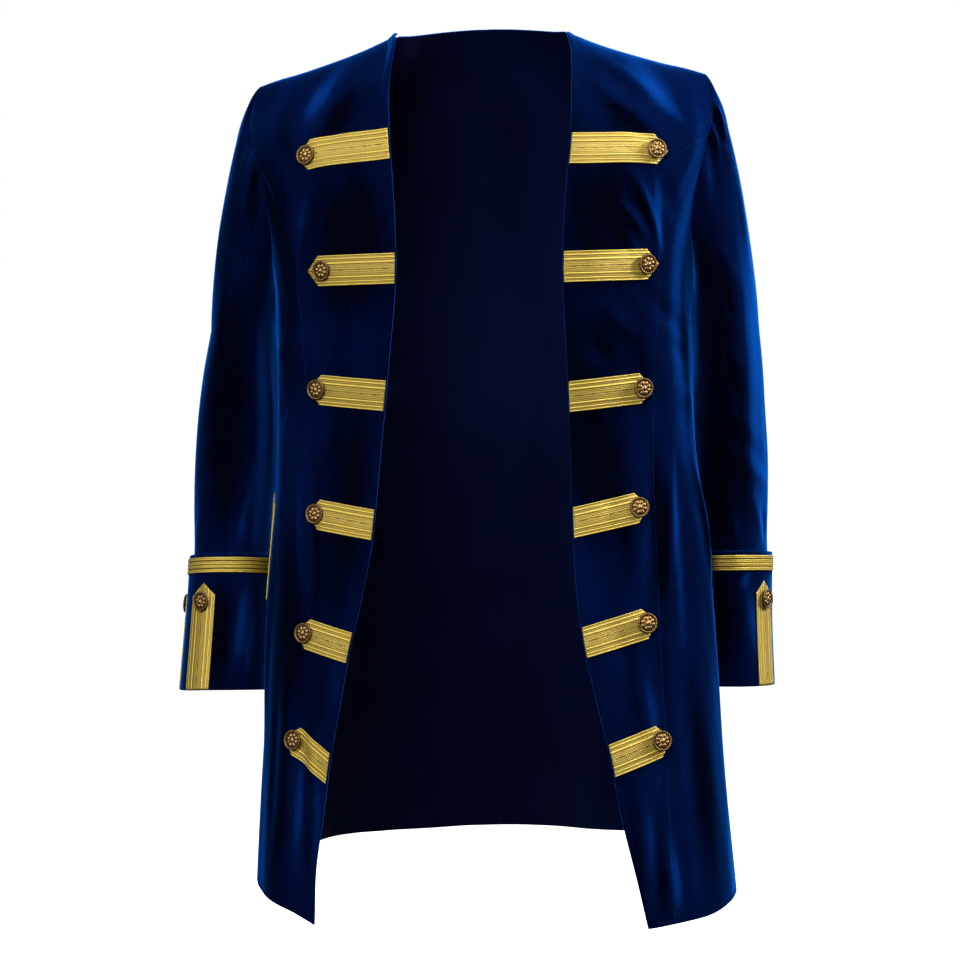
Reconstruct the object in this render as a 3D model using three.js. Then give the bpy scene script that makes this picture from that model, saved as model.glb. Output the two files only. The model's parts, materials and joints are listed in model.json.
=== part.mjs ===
// A justaucorps: a collarless, full-skirted velvet coat of eighteenth-century cut, open down the
// front, with six pointed braid tabs and buttons on each front edge and deep turned-back cuffs.
// It is filled out as if worn. Millimetres, +Z up; the front faces -Y; "left" is -X, "right" is +X.
// The origin is the middle of the neck opening, level with the points where the neck meets the
// shoulder seams.
//
// The body is one surface, worked out from level sections, and each cut panel is a stretch of it
// between two seams, given a wall. "level" is the height of a row of points: it is a true height
// below the chest, and follows the slope of the shoulder seam above. "turn" is the angle round the
// body in degrees: 0 at centre front, 90 at the side, 180 at centre back.
import * as THREE from 'three';

// ---- Driving sizes ---------------------------------------------------------------------------
const WALL = 2;                 // velvet with its interlining and lining
const SEAM_GAP = 0.3;           // between two panels that are sewn together
const ROUNDNESS = 2.3;          // exponent of the body's level sections: 2 is an ellipse
const SHOULDER_Y = 5;           // where the shoulder seam runs, front to back
const SHOULDER_ROUND = { front: 80, back: 100 };  // drop over which the cloth turns over the shoulder
const NECK_HALF = 86;           // centre of the neck to the shoulder seam's inner end
const BACK_NECK_RISE = 10;      // centre-back neck above the shoulder seam's inner end
const FADE_DEPTH = 190;         // levels below this are true heights
const HEM_START = -600;         // below this the levels bend towards the hem's own line

const BRAID = { width: 29, thick: 1.3, lift: 0.6, point: 12 };
const BAND = { width: 15, thick: 1.3, lift: 0.4, inset: 4 };
const BUTTON = { radius: 9.8, lift: 0.3, sides: 12 };
const CUFF = { deep: 134, standTop: 4.5, standBottom: 2.4, columns: 32, rows: 4 };
const CUFF_BOTTOM = { left: -648, right: -653 };
const ARMHOLE_GAP = 0.5;        // sleeve head to body

// ---- Short tables, one row a level -----------------------------------------------------------
// Half widths of the section on each side, its depths, and the Y of its widest points.
const BODY = [
  { level: 0, left: 236, right: 236, front: 72, back: 72, middle: 5 },
  { level: -60, left: 238, right: 238, front: 92, back: 92, middle: 2 },
  { level: -120, left: 232, right: 232, front: 110, back: 108, middle: -2 },
  { level: -180, left: 219, right: 219, front: 120, back: 118, middle: -6 },
  { level: -236, left: 208, right: 208, front: 124, back: 120, middle: -12 },
  { level: -300, left: 205, right: 205, front: 124, back: 114, middle: -25 },
  { level: -400, left: 206, right: 209, front: 124, back: 104, middle: -40 },
  { level: -500, left: 212, right: 224, front: 138, back: 112, middle: -50 },
  { level: -600, left: 218, right: 232, front: 158, back: 125, middle: -55 },
  { level: -700, left: 224, right: 237, front: 182, back: 140, middle: -58 },
  { level: -840, left: 233, right: 248, front: 215, back: 160, middle: -60 },
];

// Height of the shoulder seam at a distance from the centre; the first rows close the neck.
const SHOULDER = [
  { x: 0, z: 85 }, { x: 30, z: 70 }, { x: 60, z: 42 }, { x: 75, z: 22 }, { x: 86, z: 4 },
  { x: 100, z: -4 }, { x: 125, z: -14 }, { x: 151, z: -22.5 }, { x: 181, z: -31.5 }, { x: 203, z: -37 },
  { x: 227, z: -45 }, { x: 262, z: -60 },
];

// Height of the hem above its level, round each side from the front corner to centre back.
const HEM = [
  { turn: 38, left: -11, right: -10 }, { turn: 50, left: 1, right: -7 }, { turn: 65, left: 9, right: -2 },
  { turn: 90, left: 13, right: 3 }, { turn: 135, left: 12, right: 9 }, { turn: 180, left: 12, right: 12 },
];

// Distance of each front edge from the centre.
const FRONT_EDGE = [
  { level: 0, left: 84, right: 87 }, { level: -20, left: 80, right: 93 },
  { level: -62, left: 82, right: 94 }, { level: -106, left: 80, right: 93 },
  { level: -150, left: 77, right: 88.5 }, { level: -192, left: 75, right: 85.5 },
  { level: -236, left: 75, right: 84 }, { level: -315, left: 83.5, right: 86 },
  { level: -400, left: 93.5, right: 88 }, { level: -490, left: 103, right: 90 },
  { level: -540, left: 113, right: 93 }, { level: -590, left: 125, right: 99.5 },
  { level: -640, left: 134.5, right: 111 }, { level: -690, left: 144, right: 123.5 },
  { level: -740, left: 151, right: 133 }, { level: -790, left: 158, right: 145.5 },
  { level: -838, left: 160, right: 157 },
];

// Distance of the princess seams from the centre, from where they leave the armhole.
const PRINCESS = [
  { level: -84, front: 219, back: 222 }, { level: -106, front: 198, back: 213.5 },
  { level: -128, front: 178, back: 190 }, { level: -150, front: 168, back: 170 },
  { level: -172, front: 168, back: 154 }, { level: -192, front: 171, back: 142 },
  { level: -236, front: 176, back: 123 }, { level: -315, front: 170, back: 105 },
  { level: -400, front: 167, back: 98 }, { level: -490, front: 168.5, back: 106 },
  { level: -590, front: 170.5, back: 119 }, { level: -690, front: 175, back: 131 },
  { level: -838, front: 181, back: 149 },
];

// Turn of the armhole's edge, front and back; it closes under the arm at the last row.
const ARMHOLE = [
  { level: 0, front: 67.2, back: 112.8 }, { level: -6, front: 69.2, back: 111.5 },
  { level: -20, front: 71.6, back: 110.5 }, { level: -40, front: 72.5, back: 111 },
  { level: -62, front: 70.8, back: 112.5 }, { level: -84, front: 68.7, back: 113.5 },
  { level: -106, front: 68.2, back: 114 }, { level: -128, front: 67.6, back: 114 },
  { level: -150, front: 67.9, back: 113 }, { level: -172, front: 68.5, back: 111 },
  { level: -192, front: 70.5, back: 108.5 }, { level: -210, front: 75, back: 104.5 },
  { level: -225, front: 81, back: 98.5 }, { level: -236, front: 90, back: 90 },
];
const SKIRT_LEVELS = [-275, -315, -355, -400, -445, -490, -540, -590, -640, -690, -740, -790, -838];
const LEVELS = ARMHOLE.map((row) => row.level).concat(SKIRT_LEVELS);
const FRONT_SEAM_START = -84;
const BACK_SEAM_START = -106;
const SIDE_SEAM_TURN = 90;

// Soft ridges (rise above 0) and troughs of the hanging cloth: where they stand, how wide they
// are in degrees, and how far they stand out at full depth, between the levels named.
const FOLDS = [
  { side: 1, turn: 58, width: 9, rise: 5, from: -420, full: -700 },
  { side: 1, turn: 110, width: 22, rise: -27, from: -300, full: -620 },
  { side: 1, turn: 142, width: 10, rise: 9, from: -460, full: -838 },
  { side: 1, turn: 160, width: 9, rise: -7, from: -450, full: -838 },
  { side: -1, turn: 60, width: 9, rise: 4, from: -440, full: -740 },
  { side: -1, turn: 108, width: 12, rise: -8, from: -480, full: -838 },
  { side: -1, turn: 134, width: 10, rise: 9, from: -430, full: -838 },
  { side: -1, turn: 161, width: 9, rise: -6, from: -450, full: -838 },
];

// Sleeves as hanging tubes below the arm: X of the outer and inner edges, centre and half depth
// along Y, and how far the ring's front is tipped up, in degrees.
const SLEEVE = {
  left: [
    { z: -285, outer: 276, inner: 213, y: 2, deep: 66, nod: 0 },
    { z: -330, outer: 286.5, inner: 214, y: 6, deep: 66.5, nod: 1 },
    { z: -375, outer: 294, inner: 216, y: 10, deep: 66, nod: 3 },
    { z: -420, outer: 298, inner: 218, y: 10, deep: 65, nod: 5 },
    { z: -465, outer: 299.5, inner: 219.5, y: 7, deep: 63, nod: 7 },
    { z: -510, outer: 300, inner: 221, y: 2, deep: 61, nod: 9 },
    { z: -580, outer: 306, inner: 225, y: -8, deep: 60, nod: 9 },
    { z: -648, outer: 313, inner: 228.5, y: -18, deep: 60, nod: 9 },
  ],
  right: [
    { z: -285, outer: 270.5, inner: 204.5, y: 4, deep: 66, nod: 0 },
    { z: -330, outer: 274, inner: 205, y: 11, deep: 66.5, nod: 1 },
    { z: -375, outer: 275.5, inner: 203.5, y: 18, deep: 66, nod: 3 },
    { z: -420, outer: 277.5, inner: 203.5, y: 25, deep: 65, nod: 5 },
    { z: -465, outer: 278, inner: 204, y: 29, deep: 63, nod: 6 },
    { z: -510, outer: 277.5, inner: 205, y: 31, deep: 61, nod: 7 },
    { z: -580, outer: 278, inner: 206, y: 29, deep: 60, nod: 7 },
    { z: -653, outer: 281, inner: 206, y: 25, deep: 60, nod: 7 },
  ],
};
const SLEEVE_HEAD = [0, 0.1, 0.22, 0.36, 0.52, 0.68, 0.84];   // fractions from armhole to first ring
const SLEEVE_RINGS = [-285, -330, -375, -420, -465, -510, -555, -602];   // and the cuff's lower edge
const ARMHOLE_CENTRE = { y: 0, z: -145, halfY: 56, halfZ: 95 };
const UNDER_SLEEVE = { from: 8, to: 18 };   // columns of the ring that the under sleeve covers

// Front tabs: level at the front edge, and the distance and level of the point.
const FRONT_TABS = {
  left: [
    { level: -114, tipX: 172, tipLevel: -109, button: 10 },
    { level: -228, tipX: 164, tipLevel: -229, button: 17 },
    { level: -349, tipX: 164, tipLevel: -342, button: 9 },
    { level: -472, tipX: 168, tipLevel: -461, button: 9 },
    { level: -588, tipX: 178, tipLevel: -574, button: 9 },
    { level: -697, tipX: 187, tipLevel: -674, button: 10 },
  ],
  right: [
    { level: -118, tipX: 184, tipLevel: -110, button: 12 },
    { level: -230, tipX: 174, tipLevel: -229, button: 13 },
    { level: -353, tipX: 166, tipLevel: -346, button: 10 },
    { level: -472, tipX: 161, tipLevel: -458, button: 10 },
    { level: -584, tipX: 167, tipLevel: -566, button: 10 },
    { level: -690, tipX: 178, tipLevel: -673, button: 10 },
  ],
};
const TAB_COLUMNS = 6;
const EDGE_INSET = 0.8;         // braid's end to the front edge
// Cuff tabs: angle round the cuff, 0 at its outer side and 90 at its front.
const CUFF_TAB_ANGLES = { left: [67, -6], right: [41, -32] };
const CUFF_TAB = { length: 104, button: 18 };
// Side tabs: turn, level of the upper point, and length.
const SIDE_TAB = {
  left: { turn: 87, tip: -445, length: 105 },
  right: { turn: 108, tip: -440, length: 105 },
};

// ---- Materials -------------------------------------------------------------------------------
const VELVET = new THREE.MeshStandardMaterial({ color: 0x0a2a7a, roughness: 0.9, metalness: 0 });
const GOLD_BRAID = new THREE.MeshStandardMaterial({ color: 0xc9a23a, roughness: 0.45, metalness: 0.6 });
const BUTTON_METAL = new THREE.MeshStandardMaterial({ color: 0xa47c2e, roughness: 0.35, metalness: 1 });

// ---- Small helpers ---------------------------------------------------------------------------
const radians = (degrees) => (degrees * Math.PI) / 180;
const degrees = (angle) => (angle * 180) / Math.PI;
const clamp01 = (value) => Math.min(1, Math.max(0, value));
const ease = (value) => clamp01(value) ** 2 * (3 - 2 * clamp01(value));
const signedPower = (value, power) => Math.sign(value) * Math.abs(value) ** power;
const sideName = (side) => (side > 0 ? 'right' : 'left');

/** Smooth curve through a table's rows: the value of one column at a place along another. */
function smooth(table, key, column, at) {
  const rows = table[0][key] < table[table.length - 1][key] ? table : [...table].reverse();
  const last = rows.length - 1;
  const place = Math.min(Math.max(at, rows[0][key]), rows[last][key]);
  let low = 0;
  while (low < last - 1 && rows[low + 1][key] <= place) {
    low += 1;
  }
  const slope = (index) => {
    const from = Math.max(index - 1, 0);
    const to = Math.min(index + 1, last);
    return (rows[to][column] - rows[from][column]) / (rows[to][key] - rows[from][key]);
  };
  const span = rows[low + 1][key] - rows[low][key];
  const t = (place - rows[low][key]) / span;
  return rows[low][column] * (1 + 2 * t) * (1 - t) ** 2 + slope(low) * span * t * (1 - t) ** 2
    + rows[low + 1][column] * t * t * (3 - 2 * t) + slope(low + 1) * span * t * t * (t - 1);
}

/** A named mesh of triangles, turned to face outwards. */
function solid(name, material, points, triangles) {
  const positions = points.flatMap((point) => [point.x, point.y, point.z]);
  const volume = triangles.reduce((sum, [a, b, c]) => (
    sum + points[a].dot(new THREE.Vector3().crossVectors(points[b], points[c]))), 0);
  const outward = volume > 0 ? triangles : triangles.map(([a, b, c]) => [a, c, b]);
  const geometry = new THREE.BufferGeometry();
  geometry.setAttribute('position', new THREE.Float32BufferAttribute(positions, 3));
  geometry.setIndex(outward.flat());
  geometry.computeVertexNormals();
  const mesh = new THREE.Mesh(geometry, material);
  mesh.name = name;
  return mesh;
}

/**
 * A wall on a grid of { point, normal } cells: one face moved out by `outer`, the other by `inner`
 * along the normals, joined round the rim. A ring's last column joins its first.
 */
function wall(name, material, grid, outer, inner, ring = false) {
  const rows = grid.length;
  const columns = grid[0].length;
  const layer = rows * columns;
  const moved = (distance) => grid.flat().map((cell) => (
    cell.point.clone().addScaledVector(cell.normal, distance)));
  const points = [...moved(outer), ...moved(inner)];
  const at = (row, column) => row * columns + (column % columns);
  const triangles = [];
  const quad = (a, b, c, d) => triangles.push([a, b, c], [a, c, d]);
  const lastColumn = ring ? columns : columns - 1;
  for (let row = 0; row < rows - 1; row += 1) {
    for (let column = 0; column < lastColumn; column += 1) {
      const corners = [at(row, column), at(row, column + 1), at(row + 1, column + 1), at(row + 1, column)];
      quad(...corners);
      const [a, b, c, d] = corners.map((corner) => corner + layer);
      triangles.push([a, c, b], [a, d, c]);
    }
  }
  for (let column = 0; column < lastColumn; column += 1) {
    const [a, b] = [at(0, column), at(0, column + 1)];
    const [c, d] = [at(rows - 1, column), at(rows - 1, column + 1)];
    quad(b, a, a + layer, b + layer);
    quad(c, d, d + layer, c + layer);
  }
  for (let row = 0; row < rows - 1 && !ring; row += 1) {
    const [a, b] = [at(row, 0), at(row + 1, 0)];
    const [c, d] = [at(row, columns - 1), at(row + 1, columns - 1)];
    quad(a, b, b + layer, a + layer);
    quad(d, c, c + layer, d + layer);
  }
  return solid(name, material, points, triangles);
}

/** Draws a grid's two side edges in by half a seam gap, so that neighbours stand apart. */
function easeSeams(grid, first = true, last = true) {
  const draw = (cell, towards) => {
    const step = towards.point.clone().sub(cell.point).setLength(SEAM_GAP / 2);
    return { point: cell.point.clone().add(step), normal: cell.normal };
  };
  return grid.map((row) => {
    const eased = [...row];
    const end = row.length - 1;
    eased[0] = first ? draw(row[0], row[1]) : row[0];
    eased[end] = last ? draw(row[end], row[end - 1]) : row[end];
    return eased;
  });
}

// ---- The body's surface ----------------------------------------------------------------------
const halfWidth = (side, level) => smooth(BODY, 'level', sideName(side), level);

/** Turn at which the section of this level reaches a distance from the centre. */
function turnAt(side, x, level) {
  return degrees(Math.asin(Math.min(1, (x / halfWidth(side, level)) ** (ROUNDNESS / 2))));
}

/** Height of the body's top edge: the shoulder seam, and the neck curve inside it at the back. */
function topEdge(x, atBack) {
  if (atBack && x < NECK_HALF) {
    const rise = BACK_NECK_RISE * (1 - (x / NECK_HALF) ** 2);
    return smooth(SHOULDER, 'x', 'z', NECK_HALF) + rise;
  }
  return smooth(SHOULDER, 'x', 'z', x);
}

/** A point of the coat's outer face. */
function bodyPoint(side, turn, level) {
  const sine = Math.sin(radians(turn));
  const cosine = Math.cos(radians(turn));
  const middle = smooth(BODY, 'level', 'middle', level);
  const atBack = cosine < 0;
  const depth = atBack
    ? smooth(BODY, 'level', 'back', level) - middle
    : smooth(BODY, 'level', 'front', level) + middle;
  let fold = 0;
  for (const row of FOLDS.filter((candidate) => candidate.side === side)) {
    const bell = Math.exp(-(((turn - row.turn) / row.width) ** 2));
    fold += row.rise * bell * ease((row.from - level) / (row.from - row.full));
  }
  const x = (halfWidth(side, level) + fold) * signedPower(sine, 2 / ROUNDNESS);
  const flatY = middle - (depth + fold) * signedPower(cosine, 2 / ROUNDNESS);
  const shoulderFade = 1 - ease(-level / FADE_DEPTH);
  const hem = ease((HEM_START - level) / (HEM_START - LEVELS[LEVELS.length - 1]));
  const hemRise = smooth(HEM, 'turn', sideName(side), turn);
  const z = level + topEdge(Math.abs(x), atBack) * shoulderFade + hemRise * hem;
  const round = atBack ? SHOULDER_ROUND.back : SHOULDER_ROUND.front;
  const sink = clamp01((smooth(SHOULDER, 'x', 'z', Math.abs(x)) - z) / round);
  const y = SHOULDER_Y + (flatY - SHOULDER_Y) * Math.sqrt(1 - (1 - sink) ** 2);
  return new THREE.Vector3(side * x, y, z);
}

/** The outer face's outward direction, from two short steps along it. */
function bodyNormal(side, turn, level) {
  const step = 0.05;
  const across = bodyPoint(side, turn + step, level).sub(bodyPoint(side, turn - step, level));
  const down = bodyPoint(side, turn, level - step).sub(bodyPoint(side, turn, level));
  return across.cross(down).normalize().multiplyScalar(-side);
}

const bodyCell = (side, turn, level) => ({
  point: bodyPoint(side, turn, level),
  normal: bodyNormal(side, turn, level),
});

// ---- Body panels -----------------------------------------------------------------------------
const armholeTurn = (end, level) => ARMHOLE.find((row) => row.level === level)[end];
const isArmholeLevel = (level) => level > ARMHOLE[ARMHOLE.length - 1].level;
const evenSteps = (count) => Array.from({ length: count + 1 }, (_, index) => index / count);

/** Turns of the lines that bound the panels, on one side of the coat. */
const seamTurn = {
  frontEdge: (side, level) => (
    turnAt(side, smooth(FRONT_EDGE, 'level', sideName(side), level), level)),
  frontPrincess: (side, level) => (level > FRONT_SEAM_START
    ? armholeTurn('front', level)
    : turnAt(side, smooth(PRINCESS, 'level', 'front', level), level)),
  sideFront: (side, level) => (isArmholeLevel(level) ? armholeTurn('front', level) : SIDE_SEAM_TURN),
  sideBack: (side, level) => (isArmholeLevel(level) ? armholeTurn('back', level) : SIDE_SEAM_TURN),
  backPrincess: (side, level) => (level > BACK_SEAM_START
    ? armholeTurn('back', level)
    : 180 - turnAt(side, smooth(PRINCESS, 'level', 'back', level), level)),
  centreBack: () => 180,
};
const BACK_COLUMNS = [0, 0.12, 0.24, 0.36, 0.48, 0.6, 0.7175, 0.76, 0.82, 0.91, 1];
const COLUMNS = { front: evenSteps(6), sideFront: evenSteps(4), sideBack: evenSteps(9), back: BACK_COLUMNS };
const PANELS = [
  { name: 'front', from: 'frontEdge', to: 'frontPrincess', top: 0, columns: COLUMNS.front },
  { name: 'side_front', from: 'frontPrincess', to: 'sideFront', top: FRONT_SEAM_START,
    columns: COLUMNS.sideFront },
  { name: 'side_back', from: 'sideBack', to: 'backPrincess', top: BACK_SEAM_START,
    columns: COLUMNS.sideBack },
  { name: 'back', from: 'backPrincess', to: 'centreBack', top: 0, columns: COLUMNS.back },
];

function bodyPanel(side, panel) {
  const rows = LEVELS.filter((level) => level <= panel.top).map((level) => {
    const from = seamTurn[panel.from](side, level);
    const to = seamTurn[panel.to](side, level);
    return panel.columns.map((step) => bodyCell(side, from + (to - from) * step, level));
  });
  const top = rows[0];
  const grid = easeSeams(rows, panel.from !== 'frontEdge');
  if (panel.top === 0) {
    // The shoulder seam keeps its own gap between front and back.
    const towards = panel.name === 'front' ? -1 : 1;
    grid[0].forEach((cell, column) => {
      const onSeam = Math.abs(top[column].point.y - SHOULDER_Y) < SEAM_GAP;
      cell.point.y += onSeam ? (towards * SEAM_GAP) / 2 : 0;
    });
  }
  return wall(`${panel.name}_${sideName(side)}`, VELVET, grid, 0, -WALL);
}

// ---- Sleeves ---------------------------------------------------------------------------------
/** A point of a sleeve's tube: angle 0 at its outer side, 90 at its front; `out` widens the ring. */
function sleevePoint(side, angle, z, out = 0) {
  const value = (column) => smooth(SLEEVE[sideName(side)], 'z', column, z);
  const [outer, inner, deep, nod] = [value('outer'), value('inner'), value('deep'), radians(value('nod'))];
  const across = ((outer - inner) / 2 + out) * Math.cos(angle);
  const along = (deep + out) * Math.sin(angle);
  return new THREE.Vector3(
    side * ((outer + inner) / 2 + across),
    value('y') - along * Math.cos(nod),
    z + along * Math.sin(nod),
  );
}

/** The armhole's edge as a closed list of points from the shoulder seam, down the front first. */
function armholeRing(side) {
  const front = ARMHOLE.map((row) => bodyPoint(side, row.front, row.level));
  const back = ARMHOLE.slice(1, -1).reverse().map((row) => bodyPoint(side, row.back, row.level));
  return [...front, ...back].map((point) => point.add(new THREE.Vector3(side * ARMHOLE_GAP, 0, 0)));
}

/** Angle round the sleeve that a point of the armhole's edge runs down to. */
function sleeveAngle(point) {
  const { y, z, halfY, halfZ } = ARMHOLE_CENTRE;
  return Math.atan2((y - point.y) / halfY, (point.z - z) / halfZ);
}

/** The sleeve head: from the armhole out over the arm, and down to the first ring. */
function headPoint(side, start, angle, step) {
  const end = sleevePoint(side, angle, SLEEVE_RINGS[0]);
  const cosine = Math.cos(angle);
  const leave = new THREE.Vector3(
    side * (26 + 22 * cosine),
    -10 * Math.sin(angle),
    17.5 * cosine - 7.5 - 52.5 * Math.sin(angle) ** 2,
  );
  const arrive = new THREE.Vector3(side * 4 * (1 + cosine), 0, end.z - start.z);
  const [t, u] = [step, 1 - step];
  return new THREE.Vector3()
    .addScaledVector(start, (1 + 2 * t) * u * u)
    .addScaledVector(leave, t * u * u)
    .addScaledVector(end, t * t * (3 - 2 * t))
    .addScaledVector(arrive, -t * t * u);
}

function sleeveGrid(side) {
  const ring = armholeRing(side);
  const angles = ring.map(sleeveAngle);
  const head = SLEEVE_HEAD.map((step) => (
    ring.map((point, column) => headPoint(side, point, angles[column], step))));
  const rings = [...SLEEVE_RINGS, CUFF_BOTTOM[sideName(side)]];
  const tube = rings.map((z) => angles.map((angle) => sleevePoint(side, angle, z)));
  return withNormals([...head, ...tube], side);
}

/** Turns a grid of points on a closed tube into cells, each with its outward direction. */
function withNormals(points, side) {
  const columns = points[0].length;
  return points.map((row, index) => row.map((point, column) => {
    const above = points[Math.max(index - 1, 0)][column];
    const below = points[Math.min(index + 1, points.length - 1)][column];
    const next = row[(column + 1) % columns];
    const previous = row[(column + columns - 1) % columns];
    const normal = next.clone().sub(previous).cross(below.clone().sub(above)).normalize();
    return { point, normal: normal.multiplyScalar(side) };
  }));
}

function sleevePieces(side) {
  const grid = sleeveGrid(side);
  const { from, to } = UNDER_SLEEVE;
  const under = grid.map((row) => row.slice(from, to + 1));
  const top = grid.map((row) => [...row.slice(to), ...row.slice(0, from + 1)]);
  return [
    wall(`top_sleeve_${sideName(side)}`, VELVET, easeSeams(top), 0, -WALL),
    wall(`under_sleeve_${sideName(side)}`, VELVET, easeSeams(under), 0, -WALL),
  ];
}

// ---- Cuffs -----------------------------------------------------------------------------------
/** The cuff's outer face, standing off the sleeve most at its top; angle in radians. */
function cuffPoint(side, angle, z) {
  const rise = (z - CUFF_BOTTOM[sideName(side)]) / CUFF.deep;
  return sleevePoint(side, angle, z, CUFF.standBottom + (CUFF.standTop - CUFF.standBottom) * rise);
}

function cuffCell(side, angle, z) {
  const step = 0.01;
  const round = cuffPoint(side, angle + step, z).sub(cuffPoint(side, angle - step, z));
  const down = cuffPoint(side, angle, z - 1).sub(cuffPoint(side, angle, z + 1));
  return { point: cuffPoint(side, angle, z), normal: round.cross(down).normalize().multiplyScalar(side) };
}

function cuffRing(side, fromZ, toZ, rows) {
  return evenSteps(rows).map((drop) => Array.from({ length: CUFF.columns }, (_, column) => (
    cuffCell(side, (2 * Math.PI * column) / CUFF.columns, fromZ + (toZ - fromZ) * drop))));
}

// ---- Braid and buttons -----------------------------------------------------------------------
/**
 * A pointed length of braid. place(along, across) is the cell it lies on, in millimetres; `strips`
 * is how many facets cross its width, more on a tighter curve.
 */
function braidTab(name, length, place, strips = 2) {
  const half = BRAID.width / 2;
  const rows = evenSteps(strips).map((share) => half * (2 * share - 1)).map((across) => (
    evenSteps(TAB_COLUMNS).map((step) => (
      place(step * (length - (BRAID.point * Math.abs(across)) / half), across)))));
  return wall(name, GOLD_BRAID, rows, BRAID.lift + BRAID.thick, BRAID.lift);
}

/** A domed button with a raised rim, standing on the braid at a cell. */
function button(name, cell) {
  const { radius, sides } = BUTTON;
  const profile = [[0, 0], [radius * 0.6, 0], [radius, 1.7], [radius - 0.4, 3], [radius - 2, 3.3], [0, 5]];
  const geometry = new THREE.LatheGeometry(profile.map(([r, z]) => new THREE.Vector2(r, z)), sides);
  const mesh = new THREE.Mesh(geometry, BUTTON_METAL);
  mesh.name = name;
  mesh.quaternion.setFromUnitVectors(new THREE.Vector3(0, 1, 0), cell.normal);
  const lift = BRAID.lift + BRAID.thick + BUTTON.lift;
  mesh.position.copy(cell.point).addScaledVector(cell.normal, lift);
  return mesh;
}

/** A front tab runs from the front edge to its point, square to its own centre line. */
function frontTab(side, tab, number) {
  const edge = (level) => smooth(FRONT_EDGE, 'level', sideName(side), level) + EDGE_INSET;
  const start = bodyPoint(side, turnAt(side, edge(tab.level), tab.level), tab.level);
  const end = bodyPoint(side, turnAt(side, tab.tipX, tab.tipLevel), tab.tipLevel);
  const length = start.distanceTo(end);
  const tilt = Math.asin((tab.tipLevel - tab.level) / length);
  const spread = (tab.tipX - edge(tab.level)) / length;
  const slope = (x, level) => topEdge(x, false) * (1 - ease(-level / FADE_DEPTH));
  const firstSlope = slope(edge(tab.level), tab.level);
  const tipSlope = slope(tab.tipX, tab.tipLevel);
  const place = (along, across) => {
    const share = along / length;
    const row = tab.level + (tab.tipLevel - tab.level) * share + across * Math.cos(tilt);
    const from = edge(tab.level + across * Math.cos(tilt));
    const x = from + (tab.tipX - from) * share - across * Math.sin(tilt) * spread * share;
    const straight = firstSlope + (tipSlope - firstSlope) * share;
    let level = row;
    for (let round = 0; round < 3; round += 1) level = row + straight - slope(x, level);
    return bodyCell(side, turnAt(side, x, level), level);
  };
  const label = `${sideName(side)}_${number}`;
  return [
    braidTab(`front_tab_${label}`, length, place),
    button(`front_button_${label}`, place(length - tab.button, 0)),
  ];
}

/** A cuff tab stands on the cuff's lower edge and points up. */
function cuffTab(side, angle, number) {
  const { length } = CUFF_TAB;
  const place = (along, across) => {
    const z = CUFF_BOTTOM[sideName(side)] + EDGE_INSET + along;
    const centre = radians(angle);
    const step = 0.01;
    const reach = cuffPoint(side, centre + step, z).distanceTo(cuffPoint(side, centre - step, z));
    return cuffCell(side, centre + (across * 2 * step) / reach, z);
  };
  const label = `${sideName(side)}_${number}`;
  return [
    braidTab(`cuff_tab_${label}`, length, place, 4),
    button(`cuff_button_${label}`, place(length - CUFF_TAB.button, 0)),
  ];
}

/** A side tab lies upright on the body beside the side seam and points up. */
function sideTab(side) {
  const { turn, tip, length } = SIDE_TAB[sideName(side)];
  const place = (along, across) => {
    const level = tip - length + along;
    const step = 1;
    const reach = bodyPoint(side, turn + step, level).distanceTo(bodyPoint(side, turn - step, level));
    return bodyCell(side, turn + (across * 2 * step) / reach, level);
  };
  return braidTab(`side_tab_${sideName(side)}`, length, place, 4);
}

// ---- The coat --------------------------------------------------------------------------------
const coat = new THREE.Group();
for (const side of [-1, 1]) {
  const name = sideName(side);
  PANELS.forEach((panel) => coat.add(bodyPanel(side, panel)));
  coat.add(...sleevePieces(side));
  const cuffTop = CUFF_BOTTOM[name] + CUFF.deep;
  const cuff = cuffRing(side, cuffTop, CUFF_BOTTOM[name], CUFF.rows);
  coat.add(wall(`cuff_${name}`, VELVET, cuff, 0, -WALL, true));
  const bandTop = cuffTop - BAND.inset;
  const band = cuffRing(side, bandTop, bandTop - BAND.width, 1);
  coat.add(wall(`cuff_band_${name}`, GOLD_BRAID, band, BAND.lift + BAND.thick, BAND.lift, true));
  FRONT_TABS[name].forEach((tab, index) => coat.add(...frontTab(side, tab, index + 1)));
  CUFF_TAB_ANGLES[name].forEach((angle, index) => coat.add(...cuffTab(side, angle, index + 1)));
  coat.add(sideTab(side));
}

export default coat;
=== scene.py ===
"""A velvet justaucorps: a collarless, full-skirted coat with gold braid tabs and deep cuffs.

The coat's body is one smooth surface, worked out from level sections, and every cut panel is a
stretch of it between two seams. `turn` is the angle round the body in degrees, 0 at centre front,
90 at the side and 180 at centre back. `level` is the height of a row of points in millimetres: a
true height below the chest, and one that follows the shoulder seam's slope above it. All shapes
are worked out in millimetres and put into their meshes in metres.
"""

from __future__ import annotations

import json
import logging
import math
from collections.abc import Callable, Sequence
from dataclasses import dataclass
from enum import Enum

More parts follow.
